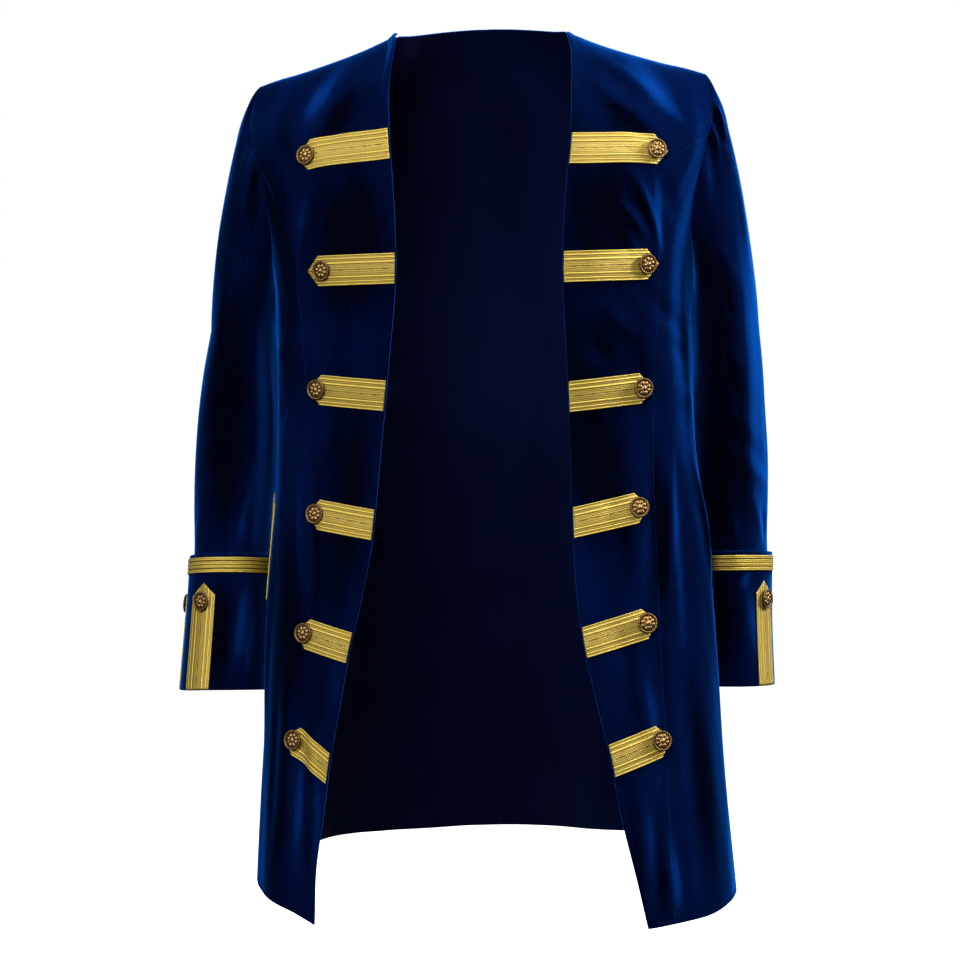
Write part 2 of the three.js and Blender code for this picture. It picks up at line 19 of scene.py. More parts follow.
import bpy
import numpy as np
from mathutils import Matrix, Vector
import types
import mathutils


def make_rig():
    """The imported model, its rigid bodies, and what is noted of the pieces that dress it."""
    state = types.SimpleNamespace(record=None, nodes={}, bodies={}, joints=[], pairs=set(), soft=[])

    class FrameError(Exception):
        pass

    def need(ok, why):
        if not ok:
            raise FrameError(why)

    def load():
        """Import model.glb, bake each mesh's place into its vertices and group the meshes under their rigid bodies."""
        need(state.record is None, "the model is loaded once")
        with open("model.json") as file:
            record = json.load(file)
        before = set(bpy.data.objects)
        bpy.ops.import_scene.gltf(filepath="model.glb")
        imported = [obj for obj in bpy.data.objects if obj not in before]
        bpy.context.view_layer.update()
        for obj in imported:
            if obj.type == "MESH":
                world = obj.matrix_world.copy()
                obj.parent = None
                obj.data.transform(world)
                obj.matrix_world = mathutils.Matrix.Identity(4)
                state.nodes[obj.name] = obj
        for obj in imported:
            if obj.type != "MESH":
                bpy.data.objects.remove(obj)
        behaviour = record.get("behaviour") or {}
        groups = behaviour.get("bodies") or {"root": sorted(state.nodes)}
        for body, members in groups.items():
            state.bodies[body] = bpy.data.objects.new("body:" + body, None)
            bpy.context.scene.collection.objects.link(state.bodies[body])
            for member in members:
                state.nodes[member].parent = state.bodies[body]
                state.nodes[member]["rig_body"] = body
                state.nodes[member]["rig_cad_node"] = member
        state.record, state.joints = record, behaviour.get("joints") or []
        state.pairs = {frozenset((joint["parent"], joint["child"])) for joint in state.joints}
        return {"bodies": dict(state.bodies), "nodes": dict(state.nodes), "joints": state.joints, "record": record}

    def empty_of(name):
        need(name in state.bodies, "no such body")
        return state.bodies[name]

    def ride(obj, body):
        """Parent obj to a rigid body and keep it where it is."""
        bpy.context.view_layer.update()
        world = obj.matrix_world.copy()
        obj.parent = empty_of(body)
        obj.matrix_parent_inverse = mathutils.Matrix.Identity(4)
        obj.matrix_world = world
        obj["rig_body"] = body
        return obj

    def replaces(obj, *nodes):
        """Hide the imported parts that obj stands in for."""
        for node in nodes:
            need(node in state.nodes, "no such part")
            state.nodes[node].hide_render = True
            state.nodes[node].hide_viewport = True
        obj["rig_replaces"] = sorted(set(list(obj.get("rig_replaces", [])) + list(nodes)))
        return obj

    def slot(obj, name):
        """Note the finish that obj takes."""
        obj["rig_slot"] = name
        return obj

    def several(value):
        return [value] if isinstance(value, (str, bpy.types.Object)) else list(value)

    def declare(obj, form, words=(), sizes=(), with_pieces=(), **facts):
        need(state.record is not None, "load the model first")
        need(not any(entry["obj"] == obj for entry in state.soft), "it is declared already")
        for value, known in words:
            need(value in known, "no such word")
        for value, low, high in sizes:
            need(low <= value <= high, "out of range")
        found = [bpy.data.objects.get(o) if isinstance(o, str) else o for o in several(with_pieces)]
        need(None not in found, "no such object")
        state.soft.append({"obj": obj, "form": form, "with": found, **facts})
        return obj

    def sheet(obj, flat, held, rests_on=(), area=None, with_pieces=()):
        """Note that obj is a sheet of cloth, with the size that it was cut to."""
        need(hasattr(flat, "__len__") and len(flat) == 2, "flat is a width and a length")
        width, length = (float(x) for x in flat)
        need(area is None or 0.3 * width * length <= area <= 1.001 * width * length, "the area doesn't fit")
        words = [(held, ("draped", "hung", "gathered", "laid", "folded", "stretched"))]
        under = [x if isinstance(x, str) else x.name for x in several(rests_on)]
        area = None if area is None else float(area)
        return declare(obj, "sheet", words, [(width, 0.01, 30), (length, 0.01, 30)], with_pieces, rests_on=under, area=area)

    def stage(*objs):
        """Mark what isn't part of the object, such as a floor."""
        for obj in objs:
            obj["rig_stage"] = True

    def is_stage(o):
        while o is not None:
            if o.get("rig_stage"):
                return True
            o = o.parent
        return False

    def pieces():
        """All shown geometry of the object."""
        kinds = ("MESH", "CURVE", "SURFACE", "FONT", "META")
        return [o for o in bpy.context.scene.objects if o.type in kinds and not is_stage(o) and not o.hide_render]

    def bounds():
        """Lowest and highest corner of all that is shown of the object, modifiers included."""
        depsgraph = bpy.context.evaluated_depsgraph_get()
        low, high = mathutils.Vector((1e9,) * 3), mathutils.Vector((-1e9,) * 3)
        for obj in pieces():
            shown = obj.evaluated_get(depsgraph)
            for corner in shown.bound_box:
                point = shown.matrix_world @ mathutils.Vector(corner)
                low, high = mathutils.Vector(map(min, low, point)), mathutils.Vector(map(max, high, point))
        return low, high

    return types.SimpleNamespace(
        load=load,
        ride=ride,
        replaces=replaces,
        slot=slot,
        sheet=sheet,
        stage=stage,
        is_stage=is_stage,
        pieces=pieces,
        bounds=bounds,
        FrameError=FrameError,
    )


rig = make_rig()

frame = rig.load()
CAD_BOX = [list(corner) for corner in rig.bounds()]

log = logging.getLogger("justaucorps")

Array = np.ndarray
Placer = Callable[[Array, Array], tuple[Array, Array]]
Rows = tuple[tuple[float, ...], ...]
Triple = tuple[float, float, float]
Colour = tuple[float, float, float, float]
MM = 0.001
CM = 0.01
MM_PER_CM = 10.0

# ---- Sizes shared by the pieces, in millimetres ---------------------------------------------------
WALL, DEEPEST_DROP = 2.0, 1.5
SEAM_ROLL = 1.1
SEAM_LAP = 0.05
ROUNDNESS = 2.3
SHOULDER_Y = 5.0
SHOULDER_ROUND_FRONT, SHOULDER_ROUND_BACK = 80.0, 100.0
NECK_HALF = 86.0
BACK_NECK_RISE = 10.0
FADE_DEPTH = 190.0
HEM_START = -600.0
HEM_LEVEL = -838.0
UNDERARM = -236.0
MM_PER_TURN = 3.3
# Gains of the painted shading laid into the velvet's colour from the creases' slope, across and along.
PAINTED_LIGHT_OF_TILT, PAINTED_LIGHT_ALONG = 0.7, 0.5
CREASE_START = 30.0
UNDER_SLEEVE_TOP = -150.0
BRAID_WIDTH, BRAID_LIFT, BRAID_POINT = 29.0, 0.6, 12.0
BRAID_BASE, BRAID_THICK = 0.5, 0.8
EDGE_INSET = 0.8
SMALLEST = 0.001
WAVER = 0.22
# Millimetres to a radian across and along, phase, and share of the waver.
WAVES: Rows = (
    (17, 41, 0, 1), (29, -67, 1.3, 1), (11, 93, 2.1, 1), (7.3, -31, 0.4, 0.6), (5.1, 23, 4.0, 0.5),
)


class Side(Enum):
    """The two halves of the coat, as the sign of X."""

    LEFT = -1
    RIGHT = 1

    @property
    def label(self) -> str:
        """The side's name in node names."""
        return self.name.lower()


# ---- Small numeric helpers ------------------------------------------------------------------------
def ease(value: Array | float) -> Array:
    """Smooth step: three squares less two cubes of a value held between 0 and 1."""
    held = np.clip(value, 0.0, 1.0)
    return held * held * (3.0 - 2.0 * held)


def signed_power(value: Array, power: float) -> Array:
    """A power that keeps the sign of its base."""
    return np.sign(value) * np.abs(value) ** power


def bell(value: Array | float) -> Array:
    """The bell curve: e to the power of minus the value squared."""
    return np.exp(-np.square(value))


def edge_drop(distance: Array, radius: float) -> Array:
    """How far a rolled edge falls: a quarter circle of the radius, from its crown to the edge."""
    share = 1.0 - np.clip(distance / radius, 0.0, 1.0)
    return radius * (1.0 - np.sqrt(1.0 - share**2))


class Curve:
    """A smooth curve through given points, by cubic pieces with mean slopes at the points."""

    def __init__(self, keys: Sequence[float], values: Sequence[float]) -> None:
        """Sorts the points and sets their slopes.

        Args:
            keys: places along the curve, rising or falling.
            values: the curve's value at each place.
        """
        order = np.argsort(keys)
        self.keys = np.asarray(keys, float)[order]
        self.values = np.asarray(values, float)[order]
        low = np.maximum(np.arange(len(order)) - 1, 0)
        high = np.minimum(np.arange(len(order)) + 1, len(order) - 1)
        self.slopes = (self.values[high] - self.values[low]) / (self.keys[high] - self.keys[low])

    def __call__(self, at: Array | float) -> Array:
        """The curve's value.

        Args:
            at: places, held within the curve's ends.

        Returns:
            The value at each place.
        """
        place = np.clip(at, self.keys[0], self.keys[-1])
        low = np.clip(np.searchsorted(self.keys, place, side="right") - 1, 0, len(self.keys) - 2)
        span = self.keys[low + 1] - self.keys[low]
        t = (place - self.keys[low]) / span
        return (
            self.values[low] * (1 + 2 * t) * (1 - t) ** 2
            + self.slopes[low] * span * t * (1 - t) ** 2
            + self.values[low + 1] * t * t * (3 - 2 * t)
            + self.slopes[low + 1] * span * t * t * (t - 1)
        )


def curves(names: str, rows: Sequence[Sequence[float]]) -> dict[str, Curve]:
    """Curves from a short table.

    Args:
        names: the column names, the first of them the key's.
        rows: one row a level.

    Returns:
        A curve for each column after the first, by name.
    """
    columns = list(zip(*rows))
    return {name: Curve(columns[0], column) for name, column in zip(names.split()[1:], columns[1:])}


# ---- Tables of the coat's form, the same as the solids' -------------------------------------------
BODY = curves("level left right front back middle", (
    (0, 236, 236, 72, 72, 5), (-60, 238, 238, 92, 92, 2), (-120, 232, 232, 110, 108, -2),
    (-180, 219, 219, 120, 118, -6), (-236, 208, 208, 124, 120, -12), (-300, 205, 205, 124, 114, -25),
    (-400, 206, 209, 124, 104, -40), (-500, 212, 224, 138, 112, -50), (-600, 218, 232, 158, 125, -55),
    (-700, 224, 237, 182, 140, -58), (-840, 233, 248, 215, 160, -60),
))
SHOULDER = Curve(
    (0, 30, 60, 75, 86, 100, 125, 151, 181, 203, 227, 262),
    (85, 70, 42, 22, 4, -4, -14, -22.5, -31.5, -37, -45, -60),
)
HEM = curves("turn left right", (
    (38, -11, -10), (50, 1, -7), (65, 9, -2), (90, 13, 3), (135, 12, 9), (180, 12, 12),
))
FRONT_EDGE = curves("level left right", (
    (0, 84, 87), (-20, 80, 93), (-62, 82, 94), (-106, 80, 93), (-150, 77, 88.5), (-192, 75, 85.5),
    (-236, 75, 84), (-315, 83.5, 86), (-400, 93.5, 88), (-490, 103, 90), (-540, 113, 93),
    (-590, 125, 99.5), (-640, 134.5, 111), (-690, 144, 123.5), (-740, 151, 133), (-790, 158, 145.5),
    (-838, 160, 157),
))
PRINCESS = curves("level front back", (
    (-84, 219, 222), (-106, 198, 213.5), (-128, 178, 190), (-150, 168, 170), (-172, 168, 154),
    (-192, 171, 142), (-236, 176, 123), (-315, 170, 105), (-400, 167, 98), (-490, 168.5, 106),
    (-590, 170.5, 119), (-690, 175, 131), (-838, 181, 149),
))
ARMHOLE = curves("level front back", (
    (0, 67.2, 112.8), (-6, 69.2, 111.5), (-20, 71.6, 110.5), (-40, 72.5, 111), (-62, 70.8, 112.5),
    (-84, 68.7, 113.5), (-106, 68.2, 114), (-128, 67.6, 114), (-150, 67.9, 113), (-172, 68.5, 111),
    (-192, 70.5, 108.5), (-210, 75, 104.5), (-225, 81, 98.5), (-236, 90, 90),
))
FRONT_SEAM_START, BACK_SEAM_START = -84.0, -106.0
# The rows just above them, where the side panels taper to a sliver beside the armhole.
SIDE_FRONT_TOP, SIDE_BACK_TOP = -80.0, -105.0
SLIVER_TURN = 0.3
SIDE_SEAM_TURN = 90.0

# Folds of the hanging skirt: turn, width in degrees, rise, level they start from, level of full rise.
FOLDS: dict[Side, Rows] = {
    Side.RIGHT: ((58, 9, 5, -420, -700), (110, 22, -27, -300, -620), (142, 10, 9, -460, -838),
                 (160, 9, -7, -450, -838)),
    Side.LEFT: ((60, 9, 4, -440, -740), (108, 12, -8, -480, -838), (134, 10, 9, -430, -838),
                (161, 9, -6, -450, -838)),
}
# Creases, given one by one, with a trough's rise below 0. Those of the front are set out by distance
# from the centre and level at each end, then width and rise; the others have turns for distances.
FRONT_CREASES: dict[Side, Rows] = {
    Side.RIGHT: (
        (98, -4, 176, -46, 8, 2.6), (103, -36, 164, -86, 9, 2.2),
        (118, -58, 178, -108, 8, -3.0), (150, -30, 204, -82, 10, 2.4),
        (146, -128, 178, -228, 6, 3.3), (170, -132, 196, -200, 10, -1.2), (126, -160, 170, -216, 6, 2.6),
        (112, -178, 152, -224, 8, -2.4), (112, -264, 166, -312, 10, 2.0), (150, -252, 200, -300, 9, -2.5),
        (96, -292, 140, -330, 11, -1.6), (185, -376, 172, -560, 8, 3.6), (167, -388, 154, -580, 9, -2.6),
        (123, -384, 134, -520, 12, -1.8), (110, -420, 140, -452, 9, 1.6), (172, -545, 188, -745, 11, 1.8),
        (192, -600, 204, -800, 11, -1.5), (150, -700, 154, -834, 9, 2.4), (177, -770, 178, -834, 9, 1.6),
        (165, -720, 166, -832, 8, -2.6), (128, -560, 150, -640, 10, -1.8), (140, -585, 168, -700, 10, 1.8),
    ),
    Side.LEFT: (
        (86, -24, 140, -78, 10, 2.8), (96, -48, 152, -100, 9, -2.7), (140, -30, 196, -90, 10, 2.2),
        (124, -134, 170, -214, 8, 2.6), (104, -150, 148, -220, 8, -2.3), (152, -128, 190, -198, 9, -2.0),
        (92, -262, 144, -306, 10, 1.9), (130, -250, 190, -292, 10, -2.2), (181, -386, 177, -560, 8, 3.1),
        (164, -396, 162, -580, 9, -2.5), (118, -392, 136, -520, 12, -1.7), (186, -582, 190, -796, 10, 3.1),
        (171, -600, 172, -812, 9, -2.7), (160, -652, 163, -828, 8, 2.5), (198, -620, 206, -810, 10, -2.6),
        (136, -580, 150, -660, 10, 1.7), (112, -470, 140, -500, 9, 1.5),
    ),
}
BODY_CREASES: dict[Side, Rows] = {
    Side.RIGHT: (
        (66, -96, 58, -190, 9, -2.0), (60, -300, 82, -330, 11, -2.0), (64, -345, 84, -372, 12, 2.0),
        (76, -410, 78, -540, 8, 3.2), (82, -470, 86, -780, 12, -3.0), (124, -120, 132, -230, 12, -2.6),
        (138, -92, 150, -160, 13, 2.2), (150, -240, 120, -300, 13, 2.4), (160, -330, 128, -372, 12, 2.6),
        (162, -362, 130, -400, 12, -2.4), (166, -398, 134, -430, 13, 2.0), (124, -440, 122, -760, 13, 3.4),
        (134, -470, 132, -800, 12, -3.2), (152, -520, 150, -820, 13, 3.0), (170, -500, 169, -820, 11, -2.8),
        (172, -60, 176, -200, 12, 1.6),
    ),
    Side.LEFT: (
        (67, -100, 60, -186, 9, -2.0), (60, -286, 80, -318, 10, 2.0), (60, -352, 82, -378, 12, -2.0),
        (78, -450, 80, -700, 11, 3.0), (84, -520, 87, -800, 11, -2.6), (122, -124, 130, -226, 12, -2.5),
        (136, -96, 149, -170, 13, 2.2), (148, -246, 121, -296, 13, 2.3), (161, -322, 127, -360, 12, 2.5),
        (163, -352, 131, -392, 12, -2.2), (165, -394, 133, -420, 13, 2.0), (120, -450, 119, -770, 13, 3.3),
        (146, -500, 144, -810, 13, -3.1), (154, -540, 153, -820, 12, 3.0), (171, -480, 170, -820, 11, -2.7),
        (172, -70, 175, -210, 12, 1.5),
    ),
}
# Painted highlight and painted shade in the velvet's colour, as strokes: turn and level at each end, width, and how
# much lighter it looks.
BACK_PAINTED_LIGHT: Rows = (
    (130, -60, 134, -520, 26, 0.3), (160, -100, 162, -600, 30, -0.3), (140, -500, 142, -850, 20, 0.35),
    (112, -300, 116, -840, 26, -0.3), (174, -400, 174, -840, 14, 0.25),
)
BODY_PAINTED_LIGHT: dict[Side, Rows] = {
    Side.RIGHT: BACK_PAINTED_LIGHT + (
        (63, 0, 70, -500, 17, 0.65), (80, -60, 82, -440, 11, 0.75), (30, 30, 52, -80, 14, 0.4),
        (26, -60, 44, -110, 12, -0.4), (46, -128, 56, -244, 5, 0.45), (34, -180, 52, -232, 6, 0.3),
        (30, -110, 36, -260, 24, -0.35), (28, -260, 34, -560, 30, -0.35), (46, -250, 50, -380, 12, -0.2),
        (57, -380, 52, -640, 7, 0.35), (50, -380, 46, -640, 9, -0.25), (68, -440, 72, -560, 12, 0.3),
        (38, -560, 44, -800, 10, 0.18), (54, -600, 62, -840, 16, -0.35), (44, -740, 46, -850, 7, 0.4),
        (52, -760, 52, -850, 7, 0.2), (84, -520, 84, -840, 14, -0.3),
    ),
    Side.LEFT: BACK_PAINTED_LIGHT + (
        (24, 30, 46, -90, 13, 0.4), (46, 20, 62, -80, 14, 0.2), (24, -40, 40, -110, 10, -0.3),
        (40, -130, 56, -220, 7, 0.25), (30, -110, 34, -300, 34, -0.4), (30, -280, 40, -600, 38, -0.4),
        (62, -60, 66, -420, 26, -0.3), (81, -300, 80, -560, 5, 0.15), (46, -560, 50, -850, 7, 0.25),
        (64, -460, 66, -850, 34, -0.6),
    ),
}
# Strokes of painted highlight and painted shade on the sleeves: angle in degrees and height at each end, width, and
# how much lighter it looks.
SLEEVE_PAINTED_LIGHT: dict[Side, Rows] = {
    Side.RIGHT: (
        (42, -130, 42, -560, 17, 0.8), (34, -44, 50, -136, 15, -0.55),
        (28, -80, 46, -70, 3, 0.7), (30, -100, 50, -88, 3, 0.6),
        (30, -124, 44, -108, 3.5, 0.65), (10, -70, 14, -170, 6, 0.35), (112, -150, 116, -540, 24, -0.6),
        (30, -410, 34, -530, 7, 0.3), (70, -300, 66, -520, 9, -0.3), (-60, -200, -70, -520, 30, 0.25),
    ),
    Side.LEFT: (
        (20, -60, 20, -560, 44, -0.5), (84, -200, 88, -540, 26, -0.45), (140, -210, 142, -540, 12, 0.75),
        (126, -420, 108, -520, 7, 0.3), (-70, -200, -76, -520, 30, 0.3), (50, -60, 62, -150, 10, 0.2),
    ),
}
# Strokes of painted highlight and painted shade on the cuffs, in rows like the sleeves'.
CUFF_PAINTED_LIGHT: dict[Side, Rows] = {
    Side.RIGHT: (
        (70, -540, 52, -640, 10, 0.45), (110, -520, 110, -660, 30, -0.4), (60, -534, 84, -560, 7, 0.35),
        (30, -530, 44, -600, 8, -0.3), (-60, -520, -60, -660, 24, 0.2),
    ),
    Side.LEFT: (
        (124, -530, 112, -650, 9, 0.5), (136, -560, 130, -660, 7, 0.3), (90, -520, 90, -660, 26, -0.45),
        (30, -520, 30, -660, 30, -0.3), (-60, -520, -60, -660, 24, 0.2),
    ),
}

# Sleeve tubes: X of the outer and inner edges, Y centre and half depth, tip of the ring in degrees.
SLEEVE: dict[Side, dict[str, Curve]] = {
    Side.LEFT: curves("z outer inner y deep nod", (
        (-285, 276, 211.5, 2, 66, 0), (-330, 286.5, 211, 6, 66.5, 1), (-375, 294, 211, 10, 66, 3),
        (-420, 298, 213.5, 10, 65, 5), (-465, 299.5, 217.5, 7, 63, 7), (-510, 300, 221, 2, 61, 9),
        (-580, 306, 225, -8, 60, 9), (-648, 313, 228.5, -18, 60, 9),
    )),
    Side.RIGHT: curves("z outer inner y deep nod", (
        (-285, 270.5, 204.5, 4, 66, 0), (-330, 274, 205, 11, 66.5, 1), (-375, 275.5, 203.5, 18, 66, 3),
        (-420, 277.5, 203.5, 25, 65, 5), (-465, 278, 204, 29, 63, 6), (-510, 277.5, 205, 31, 61, 7),
        (-580, 278, 206, 29, 60, 7), (-653, 281, 206, 25, 60, 7),
    )),
}
FIRST_RING = -285.0
ARM_CENTRE_Z, ARM_HALF_Y, ARM_HALF_Z = -145.0, 56.0, 95.0
CUFF_BOTTOM = {Side.LEFT: -648.0, Side.RIGHT: -653.0}
CUFF_DEEP, CUFF_STAND_TOP, CUFF_STAND_BOTTOM = 134.0, 4.5, 2.4
CUFF_EDGE_STEPS, CUFF_PLAIN = np.array([0.0, 0.15, 0.5, 1.0, 1.8, 3.0]), 5.0
BAND_WIDTH, BAND_THICK, BAND_LIFT, BAND_INSET = 15.0, 0.9, 0.4, 4.0
BAND_LENGTH_CM = 34.0
MM_PER_ARM_DEGREE = 0.97
# How a sleeve head sets out from the armhole: outwards, more at the top and less under the arm;
# forwards and backwards; up at the top and down at the sides. HEAD_ARRIVE is its way out at the end.
HEAD_OUT, HEAD_OUT_TOP, HEAD_TUCK, HEAD_BACK = 26.0, 22.0, 12.0, 10.0
HEAD_RISE, HEAD_SINK, HEAD_FALL, HEAD_ARRIVE = 17.5, 7.5, 52.5, 4.0

# Sleeve creases: angle in degrees (0 outer, 90 front) and height at each end, width and rise.
SLEEVE_CREASES: dict[Side, Rows] = {
    Side.RIGHT: (
        (20, -50, 34, -112, 4, 2.6), (34, -54, 46, -122, 4, -2.2), (46, -66, 60, -134, 5, 2.4),
        (4, -60, 10, -100, 4, 1.1), (-14, -62, -20, -112, 5, 1.3), (-34, -72, -46, -128, 5, 1.2),
        (60, -96, 78, -170, 6, -1.6), (74, -112, 96, -186, 6, 1.5), (20, -130, 44, -260, 9, 1.3),
        (90, -205, 60, -262, 9, 1.7), (110, -238, 70, -290, 8, -1.7), (120, -288, 64, -338, 9, 1.8),
        (112, -330, 52, -368, 8, -1.6), (118, -366, 40, -398, 9, 2.0), (100, -398, 26, -420, 8, -1.6),
        (86, -420, 14, -452, 9, 1.8), (60, -450, 34, -506, 8, 1.6), (40, -468, 18, -512, 7, -1.4),
        (8, -300, 2, -500, 8, 1.4), (100, -462, 78, -512, 8, 1.5), (-60, -230, -30, -300, 9, 1.6),
        (-90, -296, -40, -340, 9, -1.7), (-110, -340, -44, -380, 10, 1.9), (-96, -384, -36, -410, 9, -1.6),
        (-84, -420, -40, -470, 10, 1.6), (-120, -440, -100, -506, 10, 1.5), (170, -320, 168, -500, 9, 1.2),
    ),
    Side.LEFT: (
        (22, -64, 36, -116, 5, 1.3), (38, -70, 50, -126, 5, -1.3), (52, -82, 66, -140, 5, 1.4),
        (4, -60, 8, -104, 5, 1.0), (-16, -62, -24, -116, 5, 1.2), (-38, -76, -50, -132, 5, 1.2),
        (64, -102, 84, -176, 7, -1.5), (78, -120, 100, -190, 7, 1.4), (24, -140, 46, -262, 10, 1.2),
        (94, -214, 62, -268, 9, 1.6), (112, -250, 66, -302, 9, -1.6), (122, -300, 58, -346, 9, 1.8),
        (116, -340, 50, -380, 9, -1.6), (124, -380, 44, -408, 9, 1.9), (110, -410, 30, -438, 9, -1.6),
        (134, -424, 84, -470, 8, 1.9), (140, -450, 96, -500, 7, -1.7), (142, -474, 110, -514, 7, 1.8),
        (150, -300, 154, -440, 8, 1.6), (60, -456, 30, -508, 9, 1.5), (-58, -226, -32, -296, 9, 1.6),
        (-92, -300, -42, -342, 9, -1.6), (-108, -344, -46, -386, 10, 1.8), (-94, -390, -38, -416, 9, -1.5),
        (-82, -424, -42, -474, 10, 1.6), (-118, -446, -98, -508, 10, 1.4),
    ),
}

# Front tabs: level at the front edge, distance and level of the point, button's place from it.
FRONT_TABS: dict[Side, Rows] = {
    Side.LEFT: ((-114, 172, -109, 10), (-228, 164, -229, 17), (-349, 164, -342, 9),
                (-472, 168, -461, 9), (-588, 178, -574, 9), (-697, 187, -674, 10)),
    Side.RIGHT: ((-118, 184, -110, 12), (-230, 174, -229, 13), (-353, 166, -346, 10),
                 (-472, 161, -458, 10), (-584, 167, -566, 10), (-690, 178, -673, 10)),
}
# How far a tab rises over a straight line, by the tab's number. The rise is a cubic, share squared
# times what is left, and BOW_PEAK is that cubic's greatest value.
TAB_BOW, BOW_PEAK = {1: 2.6}, 4 / 27
TAB_ROUNDS, SIDE_TAB_ROUNDS = 3, 4
CUFF_TAB_ANGLES = {Side.LEFT: (67.0, -6.0), Side.RIGHT: (41.0, -32.0)}
CUFF_TAB_LENGTH, CUFF_TAB_BUTTON = 104.0, 18.0
SIDE_TABS = {Side.LEFT: (87.0, -445.0), Side.RIGHT: (108.0, -440.0)}
SIDE_TAB_LENGTH = 105.0
BUTTON_RADIUS, BUTTON_LIFT = 9.8, 0.3
# A button's profile: share of the radius and height, from the shank's foot over the rim to the boss.
BUTTON_PROFILE = np.array([
    (0.02, 0.0), (0.3, 0.0), (0.6, 0.0), (0.8, 0.55), (0.97, 1.3), (1.0, 1.9), (0.99, 2.4), (0.965, 2.75),
    (0.93, 2.95), (0.89, 3.0), (0.85, 2.9), (0.81, 2.65), (0.78, 2.4), (0.73, 2.35), (0.68, 2.5),
    (0.62, 2.75), (0.56, 2.95), (0.5, 3.1), (0.44, 3.2), (0.38, 3.2), (0.33, 3.05), (0.29, 2.9),
    (0.25, 3.2), (0.21, 3.6), (0.16, 3.95), (0.11, 4.2), (0.06, 4.35), (0.02, 4.4),
])


def crease_relief(creases: Sequence[Sequence[float]], across: Array, along: Array, metric: float) -> Array:
    """Relief of soft creases: each is a bell across a straight line, fading towards both its ends.

    Args:
        creases: rows of (across, along) at each end, width and rise.
        across: first coordinate of the points, in degrees.
        along: second coordinate of the points, in millimetres.
        metric: millimetres in a degree.

    Returns:
        How far each point stands out, in millimetres.
    """
    relief = np.zeros(np.broadcast(across, along).shape)
    for across_a, along_a, across_b, along_b, width, rise in creases:
        step_u, step_v = (across_b - across_a) * metric, along_b - along_a
        length = math.hypot(step_u, step_v)
        u, v = (across - across_a) * metric, along - along_a
        t = (u * step_u + v * step_v) / length**2
        distance = (u * step_v - v * step_u) / length
        fade = np.clip(4.0 * t * (1.0 - t), 0.0, 1.0)
        relief = relief + rise * bell(distance / width) * fade * np.sqrt(fade)
    return relief


def nap_at(strokes: Rows, relief: Callable[[Array, Array], Array], across: Array, along: Array,
           metric: float, sense: int) -> Array:
    """Painted light and shade for the velvet's colour: its strokes, and painted shading from the slope of the creases
    that tilt the cloth.

    Args:
        strokes: strokes of painted highlight and painted shade, in rows like those of creases.
        relief: the creases' height over (across, along).
        across: first coordinate of the points, in degrees.
        along: second coordinate of the points, in millimetres.
        metric: millimetres in a degree.
        sense: 1 if the painted light is lighter where the height grows with `across`, else -1.

    Returns:
        The painted light at each point, about -1 to 1.
    """
    step = 1.5
    rise_across = relief(across + step / metric, along) - relief(across - step / metric, along)
    rise_along = relief(across, along + step) - relief(across, along - step)
    # Painted shading: lighter where the creases face upwards and to one side.
    tilt = (sense * rise_across - PAINTED_LIGHT_ALONG * rise_along) / (2 * step)
    return crease_relief(strokes, across, along, metric) + PAINTED_LIGHT_OF_TILT * tilt


def soft_waver(across: Array, along: Array) -> Array:
    """The uneven hang of pile cloth, in millimetres: five sine waves that cross one another."""
    return WAVER * sum(share * np.sin(across / wide + along / tall + phase)
                       for wide, tall, phase, share in WAVES)


